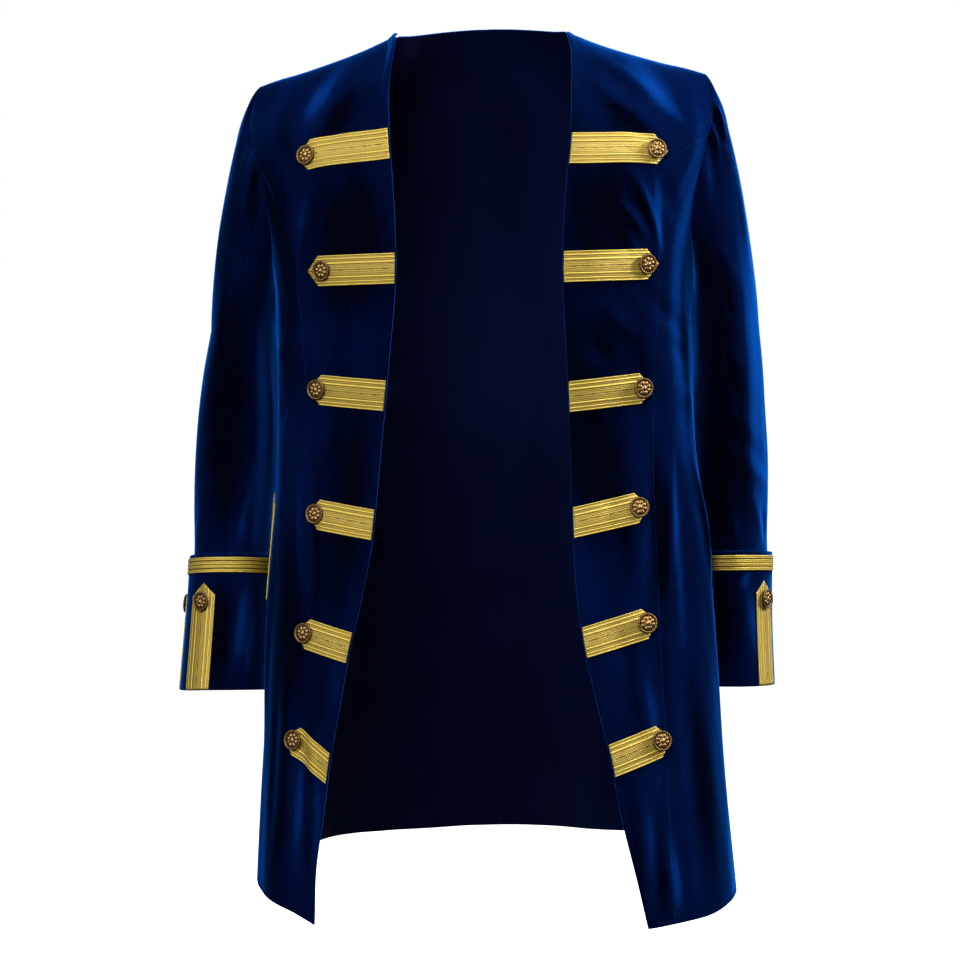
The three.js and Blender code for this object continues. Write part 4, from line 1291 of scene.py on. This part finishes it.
@dataclass(frozen=True)
class BodyPanel:
    """One cut panel of the body: a wall between two seams."""

    side: Side
    panel: Panel
    roll: float = 1.5
    stitch_inset: float = 5.2
    stitch_depth: float = 0.45
    stitch_half: float = 0.55
    hem_stitch_half: float = 0.6
    edge_puff: float = 0.3
    puff_from: float = 4.2
    puff_fade: float = 1.2
    inner_columns: int = 30
    inner_room: float = 8.0
    shoulder_rows: int = 18
    armhole_step: float = 3.5
    row_step: float = 6.5
    width_steps: int = 24
    least_width: float = 0.5

    @property
    def form(self) -> BodyForm:
        """The surface that the panel is a stretch of."""
        return BodyForm(self.side)

    def bounds_at(self, level: Array) -> tuple[Array, Array]:
        """Where the panel's two long edges lie.

        Args:
            level: heights of the rows.

        Returns:
            The turns of the first edge and of the last, one a row.
        """
        form, label = self.form, self.side.label
        front_hole, back_hole = ARMHOLE["front"](level), ARMHOLE["back"](level)
        front_seam = form.turn_at(PRINCESS["front"](level), level)
        back_seam = 180.0 - form.turn_at(PRINCESS["back"](level), level)
        under = np.full_like(level, SIDE_SEAM_TURN)
        if self.panel is Panel.FRONT:
            edge = form.turn_at(FRONT_EDGE[label](level), level)
            return edge, np.where(level > FRONT_SEAM_START, front_hole, np.minimum(front_seam, front_hole))
        if self.panel is Panel.SIDE_FRONT:
            sliver = front_hole - SLIVER_TURN
            start = np.where(level > FRONT_SEAM_START, sliver, np.minimum(front_seam, sliver))
            return start, np.where(level > UNDERARM, front_hole, under)
        if self.panel is Panel.SIDE_BACK:
            sliver = back_hole + SLIVER_TURN
            end = np.where(level > BACK_SEAM_START, sliver, np.maximum(back_seam, sliver))
            return np.where(level > UNDERARM, back_hole, under), end
        return np.where(level > BACK_SEAM_START, back_hole, np.maximum(back_seam, back_hole)), under * 2

    def levels(self) -> Array:
        """Levels of the rows: close where the cloth turns over the shoulder and at the hem's roll.

        Returns:
            The levels, from the top down.
        """
        top = {Panel.SIDE_FRONT: SIDE_FRONT_TOP, Panel.SIDE_BACK: SIDE_BACK_TOP}.get(self.panel, 0.0)
        shoulder = -SHOULDER_ROUND_FRONT * (1 - np.cos(np.linspace(0, math.pi / 2, self.shoulder_rows)))
        armhole = np.arange(ARMHOLE_TOP, ARMHOLE_FOOT, -self.armhole_step)
        skirt = np.arange(ARMHOLE_FOOT, HEM_LEVEL + SKIRT_END, -self.row_step)
        own = np.array([top, UNDERARM])
        rows = np.unique(np.concatenate([shoulder, armhole, skirt, HEM_LEVEL + HEM_STEPS, own]))[::-1]
        return rows[rows <= top]

    def grid(self) -> tuple[Array, Array, Array, Array]:
        """Sets out the panel's points: close together at both long edges, even between them.

        Returns:
            Turn and level of every point, and its distance from the first and last columns.
        """
        level = self.levels()
        start, end = self.bounds_at(level)
        turns = start[:, None] + (end - start)[:, None] * np.linspace(0, 1, self.width_steps)
        across = np.linalg.norm(np.diff(self.form.plain(turns, level[:, None]), axis=1), axis=-1)
        width = np.maximum(across.sum(axis=1), self.least_width)
        squeeze = np.minimum(1.0, width / (2 * EDGE_STEPS[-1] + self.inner_room))[:, None]
        from_left, from_right = EDGE_STEPS * squeeze, EDGE_STEPS[::-1] * squeeze
        middle = np.linspace(0, 1, self.inner_columns)[1:-1]
        width = width[:, None]
        inside = from_left[:, -1:] + (width - from_left[:, -1:] - from_right[:, :1]) * middle
        distance = np.concatenate([from_left, inside, width - from_right], axis=1)
        first = 0.0 if self.panel is Panel.FRONT else -SEAM_LAP
        usable = first + distance * ((width - first + SEAM_LAP) / width)
        turn = start[:, None] + (end - start)[:, None] * usable / width
        return turn, np.broadcast_to(level[:, None], turn.shape), distance, width - distance

    def build(self, wardrobe: Wardrobe) -> None:
        """Makes the panel.

        The outer face is the creased surface, let down along a quarter circle at each edge and in a
        narrow groove where an edge is stitched. The lining lies a wall's thickness behind it.

        Args:
            wardrobe: the finishes.
        """
        turn, level, from_first, from_last = self.grid()
        points, normal = self.form.cell(turn, level)
        from_hem = level - HEM_LEVEL
        first_roll = self.roll if self.panel is Panel.FRONT else SEAM_ROLL
        drop = np.maximum.reduce([edge_drop(from_first, first_roll), edge_drop(from_last, SEAM_ROLL),
                                  edge_drop(from_hem, self.roll)])
        if self.panel is Panel.FRONT:
            drop = drop + self.stitch_depth * bell((from_first - self.stitch_inset) / self.stitch_half)
            drop = drop - self.edge_puff * (1 - ease((from_first - self.puff_from) / self.puff_fade))
        drop = drop + self.stitch_depth * bell((from_hem - self.stitch_inset) / self.hem_stitch_half)
        outer = points - normal * np.minimum(drop, DEEPEST_DROP)[..., None]
        inner = points - normal * WALL
        node = f"{self.panel.value}_{self.side.label}"
        # Painted highlight and painted shade for the velvet: strokes, and shading from the creases' slope.
        nap = nap_at(BODY_PAINTED_LIGHT[self.side], self.form.relief, turn, level, MM_PER_TURN, -self.side.value)
        sheet = Sheet(node, outer, inner, self.form.plain(turn, level), Held.DRAPED, "worn_neck", nap)
        sheet.build(wardrobe, Slot.VELVET, wardrobe.velvet, wardrobe.lining)


# ---- Sleeves and cuffs ----------------------------------------------------------------------------
@dataclass(frozen=True)
class SleeveForm:
    """A sleeve's tube: rings below the arm, and a head that runs up to the armhole."""

    side: Side

    def ring(self, angle: Array, z: Array, out: Array | float = 0.0) -> Array:
        """A point of the tube: an ellipse, its front tipped up by the ring's own nod.

        Args:
            angle: radians, 0 at the outer side and a quarter turn at the front.
            z: height of the ring's centre.
            out: how much the ring is widened.

        Returns:
            Points, in millimetres.
        """
        table = SLEEVE[self.side]
        outer, inner, nod = table["outer"](z), table["inner"](z), np.radians(table["nod"](z))
        across = ((outer - inner) / 2 + out) * np.cos(angle)
        along = (table["deep"](z) + out) * np.sin(angle)
        x = self.side.value * ((outer + inner) / 2 + across)
        return np.stack([x, table["y"](z) - along * np.cos(nod), z + along * np.sin(nod)], axis=-1)

    def armhole(self, count: int) -> tuple[Array, Array, int, int]:
        """The armhole's edge from the shoulder, down the front and up the back.

        Args:
            count: points from the shoulder to where the under sleeve begins.

        Returns:
            The body's points and outward directions along the edge, and the two columns between
            which the under sleeve lies.
        """
        split = math.acos(1 + UNDER_SLEEVE_TOP / (-UNDERARM / 2)) / math.pi
        upper, lower = np.linspace(0, split, count), np.linspace(split, 1, count)[1:]
        level = UNDERARM / 2 * (1 - np.cos(math.pi * np.concatenate([upper, lower])))
        body = BodyForm(self.side)
        turn = np.concatenate([ARMHOLE["front"](level), ARMHOLE["back"](level)[-2:0:-1]])
        points, normal = body.cell(turn, np.concatenate([level, level[-2:0:-1]]))
        return points, normal, count - 1, len(points) - (count - 1)

    def head(self, start: Array, angle: Array, step: Array) -> Array:
        """The sleeve head: a cubic from the armhole, out over the arm and down to the first ring.

        Args:
            start: the armhole's points.
            angle: the angle round the arm of each, in radians.
            step: shares of the way, one a row.

        Returns:
            Points, in millimetres.
        """
        end = self.ring(angle, np.full_like(angle, FIRST_RING))
        cosine = np.cos(angle)
        out = HEAD_OUT + HEAD_OUT_TOP * cosine - HEAD_TUCK * np.clip(-cosine, 0, 1) ** 3
        down = HEAD_RISE * cosine - HEAD_SINK - HEAD_FALL * np.sin(angle) ** 2
        leave = np.stack([self.side.value * out, -HEAD_BACK * np.sin(angle), down], axis=-1)
        arrive = np.stack([self.side.value * HEAD_ARRIVE * (1 + cosine), np.zeros_like(angle),
                           end[:, 2] - start[:, 2]], axis=-1)
        t = step[:, None, None]
        u = 1 - t
        return (start * (1 + 2 * t) * u * u + leave * t * u * u
                + end * t * t * (3 - 2 * t) - arrive * t * t * u)


def outward(points: Array, side: Side) -> Array:
    """Directions out of a tube's grid of points, from the neighbours along and round it.

    Args:
        points: rows from the top down, each right round the tube.
        side: the half of the coat.

    Returns:
        Unit directions.
    """
    round_it = np.roll(points, -1, axis=1) - np.roll(points, 1, axis=1)
    along = np.empty_like(points)
    along[1:-1] = points[2:] - points[:-2]
    along[0], along[-1] = points[1] - points[0], points[-1] - points[-2]
    normal = side.value * np.cross(round_it, along)
    return normal / np.linalg.norm(normal, axis=-1, keepdims=True)


@dataclass(frozen=True)
class Sleeve:
    """A two-piece sleeve with its turned-back cuff."""

    side: Side
    ring_count: int = 50
    head_rows: int = 46
    head_gather: float = 1.15
    tube_step: float = 5.0
    waver_shift: float = 300.0
    calm_rows: float = 3.0
    hidden_from: float = -505.0
    hidden_fade: float = 12.0
    seam_half: float = 1.8
    cuff_columns: int = 120
    cuff_rows: int = 46
    cuff_roll: float = 1.4
    dent_depth: float = 0.8
    dent_waves: Rows = ((0.5, 3, 0.8), (0.35, 5, 2.2))
    dent_fade: float = 1.4
    bulge: float = 0.8
    bulge_angle: tuple[float, float] = (2.0, 0.35)
    bulge_depth: tuple[float, float] = (0.55, 0.3)
    turned_from: float = 200.0
    band_rows: int = 49

    @property
    def form(self) -> SleeveForm:
        """The sleeve's surface."""
        return SleeveForm(self.side)

    def grid(self) -> tuple[Array, Array, Array, int, int]:
        """Sets out the creased tube, from the armhole to the end of the sleeve.

        Returns:
            The points, directions and painted light, and the under sleeve's two seam columns.
        """
        start, _, first, last = self.form.armhole(self.ring_count)
        angle = np.arctan2(-start[:, 1] / ARM_HALF_Y, (start[:, 2] - ARM_CENTRE_Z) / ARM_HALF_Z)
        step = np.linspace(0, 1, self.head_rows)[:-1] ** self.head_gather
        z = np.arange(FIRST_RING, CUFF_BOTTOM[self.side] + 1, -self.tube_step)
        z = np.append(z, CUFF_BOTTOM[self.side])
        tube = self.form.ring(angle[None, :], z[:, None])
        points = np.concatenate([self.form.head(start, angle, step), tube])
        normal = outward(points, self.side)
        degrees = np.broadcast_to(np.degrees(angle), points.shape[:2])
        height = points[..., 2]
        rise = self.relief(degrees, height)
        rise = rise + soft_waver(degrees * MM_PER_ARM_DEGREE + self.waver_shift, height)
        calm = ease(np.arange(len(points))[:, None] / self.calm_rows)
        hidden = ease((self.hidden_from - height) / self.hidden_fade)
        # Painted highlight and painted shade for the sleeve's velvet: strokes, and shading from the creases' slope.
        nap = nap_at(SLEEVE_PAINTED_LIGHT[self.side], self.relief, degrees, height, MM_PER_ARM_DEGREE,
                     self.side.value)
        moved = points + normal * (rise * calm * (1 - hidden))[..., None]
        return moved, normal, nap, first, last

    def relief(self, degrees: Array, z: Array) -> Array:
        """How far the sleeve's creases move its surface out."""
        return crease_relief(SLEEVE_CREASES[self.side], degrees, z, MM_PER_ARM_DEGREE)

    def pieces(self, wardrobe: Wardrobe) -> None:
        """Makes the top and the under sleeve; their first row is the armhole's own rolled edge.

        Args:
            wardrobe: the finishes.
        """
        points, normal, nap, first, last = self.grid()
        body_edge, body_normal = self.form.armhole(self.ring_count)[:2]
        columns = points.shape[1]
        spans = {"under_sleeve": np.arange(first, last + 1),
                 "top_sleeve": np.arange(last, first + columns + 1) % columns}
        for name, span in spans.items():
            face, out = points[:, span], normal[:, span]
            gap = np.minimum(np.linalg.norm(face - face[:, :1], axis=-1),
                             np.linalg.norm(face - face[:, -1:], axis=-1))
            drop = bell(gap / self.seam_half)
            node = f"{name}_{self.side.label}"
            outer, inner = face - out * drop[..., None], face - out * WALL
            outer[0] = body_edge[span] - body_normal[span] * SEAM_ROLL
            inner[0] = body_edge[span] - body_normal[span] * WALL
            under = f"velvet_side_front_{self.side.label}"
            sheet = Sheet(node, outer, inner, face, Held.DRAPED, under, nap[:, span])
            sheet.build(wardrobe, Slot.VELVET, wardrobe.velvet, wardrobe.lining)

    def cuff_face(self, angle: Array, z: Array) -> tuple[Array, Array]:
        """The cuff's outer face: the sleeve's ring, standing off most at the top.

        Args:
            angle: radians round the cuff.
            z: heights.

        Returns:
            Points and unit directions.
        """
        def face(round_angle: Array, height: Array) -> Array:
            """Points of the face.

            Args:
                round_angle: radians round the cuff.
                height: their height.

            Returns:
                Points, in millimetres.
            """
            rise = (height - CUFF_BOTTOM[self.side]) / CUFF_DEEP
            stand = CUFF_STAND_BOTTOM + (CUFF_STAND_TOP - CUFF_STAND_BOTTOM) * rise
            return self.form.ring(round_angle, height, stand)

        step = 0.01
        round_it = face(angle + step, z) - face(angle - step, z)
        normal = self.side.value * np.cross(round_it, face(angle, z - 1) - face(angle, z + 1))
        return face(angle, z), normal / np.linalg.norm(normal, axis=-1, keepdims=True)

    def round_angles(self) -> Array:
        """A row of angles right round the cuff, in radians."""
        return np.linspace(0, 2 * math.pi, self.cuff_columns, endpoint=False)[None, :]

    def dents(self, angle: Array, depth: Array) -> Array:
        """The cuff's soft dents: two waves round it that die away downwards, and one bulge.

        Args:
            angle: radians round the cuff.
            depth: share of the way down it.

        Returns:
            The relief, about 1 at most.
        """
        waves = sum(rise * np.sin(count * angle + phase) for rise, count, phase in self.dent_waves)
        (round_at, round_half), (down_at, down_half) = self.bulge_angle, self.bulge_depth
        bulge = self.bulge * bell((angle - round_at) / round_half) * bell((depth - down_at) / down_half)
        return waves * ease(1 - depth * self.dent_fade) + bulge

    def cuff(self, wardrobe: Wardrobe) -> None:
        """Makes the cuff: a ring with rolled edges, softly dented, and its band of braid.

        Args:
            wardrobe: the finishes.
        """
        bottom = CUFF_BOTTOM[self.side]
        top = bottom + CUFF_DEEP
        angle = self.round_angles()
        middle = np.linspace(top - CUFF_PLAIN, bottom + CUFF_PLAIN, self.cuff_rows)
        z = np.concatenate([top - CUFF_EDGE_STEPS, middle, bottom + CUFF_EDGE_STEPS[::-1]])[:, None]
        points, normal = self.cuff_face(*np.broadcast_arrays(angle, z))
        dents = self.dent_depth * self.dents(angle, (top - z) / CUFF_DEEP)
        drop = edge_drop(np.minimum(top - z, z - bottom), self.cuff_roll)
        outer = points + normal * (dents - drop)[..., None]
        inner = points + normal * (dents - WALL)[..., None]
        node = f"cuff_{self.side.label}"
        degrees = np.degrees(angle)
        turned = np.where(degrees > self.turned_from, degrees - 360.0, degrees)
        # Painted highlight and painted shade strokes for the cuff's velvet.
        nap = crease_relief(CUFF_PAINTED_LIGHT[self.side], *np.broadcast_arrays(turned, z), MM_PER_ARM_DEGREE)
        under = f"velvet_top_sleeve_{self.side.label}"
        sheet = Sheet(node, outer, inner, points, Held.FOLDED, under, nap, ring=True)
        sheet.build(wardrobe, Slot.VELVET, wardrobe.velvet, wardrobe.velvet)
        self.band(wardrobe, top - BAND_INSET)

    def band(self, wardrobe: Wardrobe, top: float) -> None:
        """Makes the braid round the cuff's top: four ribs along its length.

        Args:
            wardrobe: the finishes.
            top: height of the braid's upper edge.
        """
        angle = self.round_angles()
        across = np.linspace(-BAND_WIDTH / 2, BAND_WIDTH / 2, self.band_rows)[:, None]
        points, normal = self.cuff_face(*np.broadcast_arrays(angle, top - BAND_WIDTH / 2 - across))
        height = NARROW_BRAID.height(BAND_WIDTH / 2 - np.abs(across))
        outer = points + normal * (BAND_LIFT + BRAID_BASE + height)[..., None]
        inner = points + normal * BAND_LIFT
        turns = np.arange(self.cuff_columns + 1) / self.cuff_columns
        uv = np.stack(np.broadcast_arrays(turns[None, :] * BAND_LENGTH_CM, across / MM_PER_CM), axis=-1)
        label = self.side.label
        sheet = Sheet(f"cuff_band_{label}", outer, inner, points, Held.LAID, f"velvet_cuff_{label}",
                      uv=uv, ring=True, braid_width=BAND_WIDTH)
        sheet.build(wardrobe, Slot.BRAID, wardrobe.band, wardrobe.band)


# ---- Braid and buttons ----------------------------------------------------------------------------
@dataclass(frozen=True)
class BraidTab:
    """A pointed length of braid laid on a surface, with an optional button near its point."""

    name: str
    length: float
    place: Placer
    rests_on: str
    button: float | None = None
    columns: int = 60
    rows: int = 61
    end_roll: float = 0.6
    end_run: float = 1.2
    end_start: float = 0.3
    least_height: float = 0.3

    def build(self, wardrobe: Wardrobe) -> None:
        """Makes the braid, and the button if it has one.

        The braid is a ribbed grid whose columns bend into a chevron towards the point.

        Args:
            wardrobe: the finishes.
        """
        half = BRAID_WIDTH / 2
        across = np.linspace(-half, half, self.rows)[:, None]
        share = np.linspace(0, 1, self.columns)[None, :]
        reach = self.length - BRAID_POINT * np.abs(across) / half
        along, across = np.broadcast_arrays(share * reach, across)
        points, normal = self.place(along, across)
        to_end = np.minimum(reach - along, along + self.end_start)
        rolled = self.end_roll * (1 - ease(to_end / self.end_run))
        height = BRAID_BASE + WIDE_BRAID.height(half - np.abs(across)) - rolled
        outer = points + normal * (BRAID_LIFT + np.maximum(height, self.least_height))[..., None]
        inner = points + normal * BRAID_LIFT
        sheet = Sheet(self.name, outer, inner, points, Held.LAID, self.rests_on,
                      uv=np.stack([along, across], axis=-1) / MM_PER_CM, braid_width=BRAID_WIDTH)
        sheet.build(wardrobe, Slot.BRAID, wardrobe.braid, wardrobe.braid)
        if self.button is not None:
            middle, out = self.place(np.array([[self.length - self.button]]), np.zeros((1, 1)))
            lift = BRAID_LIFT + BRAID_BASE + BRAID_THICK + BUTTON_LIFT
            node = self.name.replace("_tab_", "_button_")
            RosetteButton(node, middle[0, 0] + out[0, 0] * lift, out[0, 0]).build(wardrobe)


@dataclass(frozen=True)
class RosetteButton:
    """A cast button: eight petals round a boss, inside a beaded rim."""

    node: str
    centre: Array
    facing: Array
    petals: int = 8
    petal_power: float = 0.6
    petal_mean: float = 0.55
    petal_rise: float = 1.1
    petal_ring: tuple[float, float] = (0.54, 0.17)
    beads: int = 26
    bead_rise: float = 0.35
    bead_ring: tuple[float, float] = (0.9, 0.05)
    boss_rise: float = 0.25
    boss_ring: tuple[float, float] = (0.3, 0.06)
    top_row: int = 6
    worn_from: float = 2.0
    worn_span: float = 2.4
    segments: int = 104

    def build(self, wardrobe: Wardrobe) -> None:
        """Makes the button: a turned profile whose top is raised in petals and beads.

        Args:
            wardrobe: the finishes.
        """
        share, height = BUTTON_PROFILE[:, :1], BUTTON_PROFILE[:, 1:]
        angle = np.linspace(0, 2 * math.pi, self.segments, endpoint=False)[None, :]
        on_top = (np.arange(len(share)) >= self.top_row)[:, None]
        petal = np.abs(np.cos(self.petals / 2 * angle)) ** self.petal_power
        on_petals, on_beads, on_boss = (bell((share - middle) / half) for middle, half in (
            self.petal_ring, self.bead_ring, self.boss_ring))
        relief = on_top * ((petal - self.petal_mean) * self.petal_rise * on_petals
                           + self.bead_rise * np.cos(self.beads * angle) * on_beads
                           + self.boss_rise * np.cos(self.petals * angle) * on_boss)
        lean = Vector((0, 0, 1)).rotation_difference(Vector(self.facing)).to_matrix()
        round_it = BUTTON_RADIUS * share
        flat = np.stack(np.broadcast_arrays(round_it * np.cos(angle), round_it * np.sin(angle),
                                            height + relief), axis=-1)
        points = flat @ np.array(lean).T + self.centre
        worn = np.clip((flat[..., 2] - self.worn_from) / self.worn_span, 0, 1) * on_top
        piece = self.close(points, worn)
        wardrobe.dress(piece, self.node, Slot.BUTTON, wardrobe.button)

    def close(self, points: Array, worn: Array) -> bpy.types.Object:
        """Closes the profile's two ends with poles and makes the mesh.

        Args:
            points: rings of points, from the bottom pole to the top one.
            worn: how raised each point is, 0 to 1.

        Returns:
            The object.
        """
        rows, columns = points.shape[:2]
        row, column = quads(rows, columns, True)
        sides = row * columns + column % columns
        run = np.arange(0, columns, 2)
        poles = rows * columns
        caps = [np.stack([np.full_like(run, poles + end), base + run, base + (run + 1) % columns,
                          base + (run + 2) % columns], -1)[:, ::flip]
                for end, base, flip in ((0, 0, 1), (1, (rows - 1) * columns, -1))]
        faces = np.concatenate([sides, *caps])
        ends = np.stack([points[0].mean(axis=0), points[-1].mean(axis=0)])
        every = np.concatenate([points.reshape(-1, 3), ends])
        shade = np.concatenate([worn.ravel(), [0.0, 1.0]])
        uv = np.stack([shade[faces], np.zeros(faces.shape)], axis=-1)
        return to_mesh(f"rosette_{self.node}", every, faces, np.zeros(len(faces)), uv)


def shoulder_slope(reach: Array | float, level: Array | float) -> Array:
    """How far the front's rows of points follow the shoulder seam at a distance from the centre."""
    return SHOULDER(reach) * (1 - ease(-np.asarray(level, float) / FADE_DEPTH))


@dataclass(frozen=True)
class Trimming:
    """All the braid tabs of one side of the coat."""

    side: Side

    def front_tab(self, number: int, level: float, tip_x: float, tip_level: float,
                  button: float) -> BraidTab:
        """A tab of the front edge, square to its own centre line.

        Args:
            number: its place from the top.
            level: its level at the front edge.
            tip_x: its point's distance from the centre.
            tip_level: its point's level.
            button: how far the button sits from the point.

        Returns:
            The tab.
        """
        form, edge = BodyForm(self.side), FRONT_EDGE[self.side.label]
        inner_x = float(edge(level)) + EDGE_INSET
        start = form.plain(form.turn_at(inner_x, level), level)
        end = form.plain(form.turn_at(tip_x, tip_level), tip_level)
        length = float(np.linalg.norm(end - start))
        tilt = math.asin((tip_level - level) / length)
        spread = math.sin(tilt) * (tip_x - inner_x) / length
        bow = TAB_BOW.get(number, 0.0) / BOW_PEAK
        first_slope, tip_slope = shoulder_slope(inner_x, level), shoulder_slope(tip_x, tip_level)

        def place(along: Array, across: Array) -> tuple[Array, Array]:
            """Where the tab lies on the body.

            Args:
                along: millimetres from the tab's square end.
                across: millimetres from its centre line.

            Returns:
                Points and unit directions.
            """
            share = along / length
            sunk = across * math.cos(tilt)
            begin = edge(level + sunk) + EDGE_INSET
            x = begin + (tip_x - begin) * share - across * spread * share
            row = level + (tip_level - level) * share + sunk
            straight = first_slope + (tip_slope - first_slope) * share + bow * share**2 * (1 - share)
            height = row
            for _ in range(TAB_ROUNDS):
                height = row + straight - shoulder_slope(x, height)
            return form.cell(form.turn_at(x, height), height)

        name = f"front_tab_{self.side.label}_{number}"
        return BraidTab(name, length, place, f"velvet_front_{self.side.label}", button)

    def cuff_tab(self, number: int, angle: float) -> BraidTab:
        """An upright tab of the cuff.

        Args:
            number: its place, the one nearer the front first.
            angle: degrees round the cuff.

        Returns:
            The tab.
        """
        face, centre, step = Sleeve(self.side).cuff_face, math.radians(angle), 0.01

        def place(along: Array, across: Array) -> tuple[Array, Array]:
            """Where the tab lies on the cuff.

            Args:
                along: millimetres from the tab's square end.
                across: millimetres from its centre line.

            Returns:
                Points and unit directions.
            """
            z = CUFF_BOTTOM[self.side] + EDGE_INSET + along
            ends = [face(centre + way + 0 * z, z)[0] for way in (step, -step)]
            return face(centre + across * 2 * step / np.linalg.norm(ends[0] - ends[1], axis=-1), z)

        name = f"cuff_tab_{self.side.label}_{number}"
        return BraidTab(name, CUFF_TAB_LENGTH, place, f"velvet_cuff_{self.side.label}",
                        CUFF_TAB_BUTTON, rows=57, columns=70)

    def side_tab(self) -> BraidTab:
        """The upright tab beside the side seam.

        Returns:
            The tab.
        """
        form = BodyForm(self.side)
        turn, tip = SIDE_TABS[self.side]

        def place(along: Array, across: Array) -> tuple[Array, Array]:
            """Where the tab lies on the body.

            Args:
                along: millimetres from the tab's square end.
                across: millimetres from its centre line.

            Returns:
                Points and unit directions.
            """
            level = tip - SIDE_TAB_LENGTH + along
            middle = form.plain(turn, level)
            step = across / MM_PER_TURN
            for _ in range(SIDE_TAB_ROUNDS):
                reach = np.linalg.norm(form.plain(turn + step, level) - middle, axis=-1)
                step = step * np.abs(across) / np.maximum(reach, SMALLEST)
            return form.cell(turn + step, level)

        name = f"side_tab_{self.side.label}"
        return BraidTab(name, SIDE_TAB_LENGTH, place, f"velvet_side_back_{self.side.label}")

    def build(self, wardrobe: Wardrobe) -> None:
        """Makes every tab of the side.

        Args:
            wardrobe: the finishes.
        """
        fronts = [self.front_tab(number, *row) for number, row in enumerate(FRONT_TABS[self.side], 1)]
        cuffs = [self.cuff_tab(number, turn) for number, turn in enumerate(CUFF_TAB_ANGLES[self.side], 1)]
        for tab in [*fronts, *cuffs, self.side_tab()]:
            tab.build(wardrobe)


# ---- Studio ---------------------------------------------------------------------------------------
# Soft square lights: name, place in metres, watts, side in metres, colour.
LIGHTS: tuple[tuple[str, Triple, float, float, Triple], ...] = (
    ("front", (-0.3, -2.7, 1.3), 80.0, 1.2, (1.0, 1.0, 0.99)),
    ("key_right", (2.5, 0.25, 0.9), 112.0, 0.7, (1.0, 0.99, 0.97)),
    ("top", (0.5, -0.4, 2.2), 62.0, 0.8, (1.0, 1.0, 1.0)),
    ("fill_left", (-1.7, -2.1, 0.5), 38.0, 0.8, (0.96, 0.98, 1.0)),
    ("back_right", (1.0, 2.5, 0.9), 60.0, 1.0, (1.0, 1.0, 1.0)),
    ("back_left", (-0.25, 2.6, 0.9), 40.0, 0.8, (1.0, 1.0, 1.0)),
)


@dataclass(frozen=True)
class Studio:
    """Camera, lights and floor. Lengths are in metres."""

    distance: float = 2.4
    azimuth: float = 5.0
    roll: float = 1.2
    lens: float = 90.0
    sensor: float = 36.0
    eye_height: float = -0.255
    aim_height: float = -0.44
    aim_side: float = -0.009
    lit_height: float = -0.4
    surround: float = 0.22
    floor_height: float = -1.5
    floor_half: float = 40.0

    def camera(self) -> None:
        """Stands the camera a little to the coat's left, level with its chest."""
        turn = math.radians(self.azimuth)
        right = Vector((math.cos(turn), math.sin(turn), 0))
        eye = Vector((math.sin(turn), -math.cos(turn), 0)) * self.distance + right * self.aim_side
        eye.z = self.eye_height
        aim = right * self.aim_side + Vector((0, 0, self.aim_height))
        data = bpy.data.cameras.new("camera")
        data.lens, data.sensor_width = self.lens, self.sensor
        data.clip_end = 3 * self.floor_half
        camera = bpy.data.objects.new("camera", data)
        bpy.context.scene.collection.objects.link(camera)
        rotation = (aim - eye).to_track_quat("-Z", "Y").to_matrix().to_4x4()
        camera.matrix_world = Matrix.Translation(eye) @ rotation @ Matrix.Rotation(
            -math.radians(self.roll), 4, "Z")
        bpy.context.scene.camera = camera

    def area_light(self, name: str, place: Triple, power: float, size: float, colour: Triple) -> None:
        """A square soft light that faces the coat's middle.

        Args:
            name: the light's name.
            place: where it stands.
            power: watts.
            size: its side.
            colour: red, green and blue.
        """
        data = bpy.data.lights.new(name, "AREA")
        data.energy, data.size, data.color = power, size, colour
        light = bpy.data.objects.new(name, data)
        bpy.context.scene.collection.objects.link(light)
        light.location = place
        aim = Vector((0, 0, self.lit_height)) - Vector(place)
        light.rotation_mode = "QUATERNION"
        light.rotation_quaternion = aim.to_track_quat("-Z", "Y")

    def world(self) -> None:
        """A white surround that lights the coat only softly."""
        world = bpy.data.worlds.new("studio")
        bpy.context.scene.world = world
        world.use_nodes = True
        tree = world.node_tree
        background = tree.nodes["Background"]
        path = tree.nodes.new("ShaderNodeLightPath")
        level = tree.nodes.new("ShaderNodeMapRange")
        level.inputs["To Min"].default_value = self.surround
        level.inputs["To Max"].default_value = 1.0
        tree.links.new(path.outputs["Is Camera Ray"], level.inputs["Value"])
        tree.links.new(level.outputs["Result"], background.inputs["Strength"])
        background.inputs["Color"].default_value = (1, 1, 1, 1)

    def floor(self) -> None:
        """A square floor well below the hem."""
        half, z = self.floor_half, self.floor_height
        corners = [(-half, -half, z), (half, -half, z), (half, half, z), (-half, half, z)]
        mesh = bpy.data.meshes.new("floor")
        mesh.from_pydata(corners, [], [(0, 1, 2, 3)])
        mesh.materials.append(StudioFloor().build())
        floor = bpy.data.objects.new("floor", mesh)
        bpy.context.scene.collection.objects.link(floor)
        floor.visible_diffuse = False
        floor.visible_glossy = False
        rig.stage(floor)

    def build(self) -> None:
        """Sets the whole studio."""
        self.camera()
        self.world()
        self.floor()
        for light in LIGHTS:
            self.area_light(*light)
        bpy.context.scene.view_settings.view_transform = "Standard"


def main() -> None:
    """Builds the studio and the coat, and reports each piece."""
    logging.basicConfig(level=logging.INFO, format="%(name)s: %(message)s")
    Studio().build()
    wardrobe = Wardrobe(
        Velvet().build(), Lining().build(), GoldBraid("gold_braid", WIDE_BRAID).build(),
        GoldBraid("gold_braid_narrow", NARROW_BRAID).build(), AntiqueGold().build(),
    )
    for side in Side:
        for panel in Panel:
            BodyPanel(side, panel).build(wardrobe)
        sleeve = Sleeve(side)
        sleeve.pieces(wardrobe)
        sleeve.cuff(wardrobe)
        Trimming(side).build(wardrobe)
        log.info("%s side dressed", side.label)
    made_box = [list(corner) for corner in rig.bounds()]
    with open("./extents.json", "w", encoding="utf-8") as file:
        json.dump({"cad": CAD_BOX, "visual": made_box}, file)


if __name__ == "__main__":
    main()
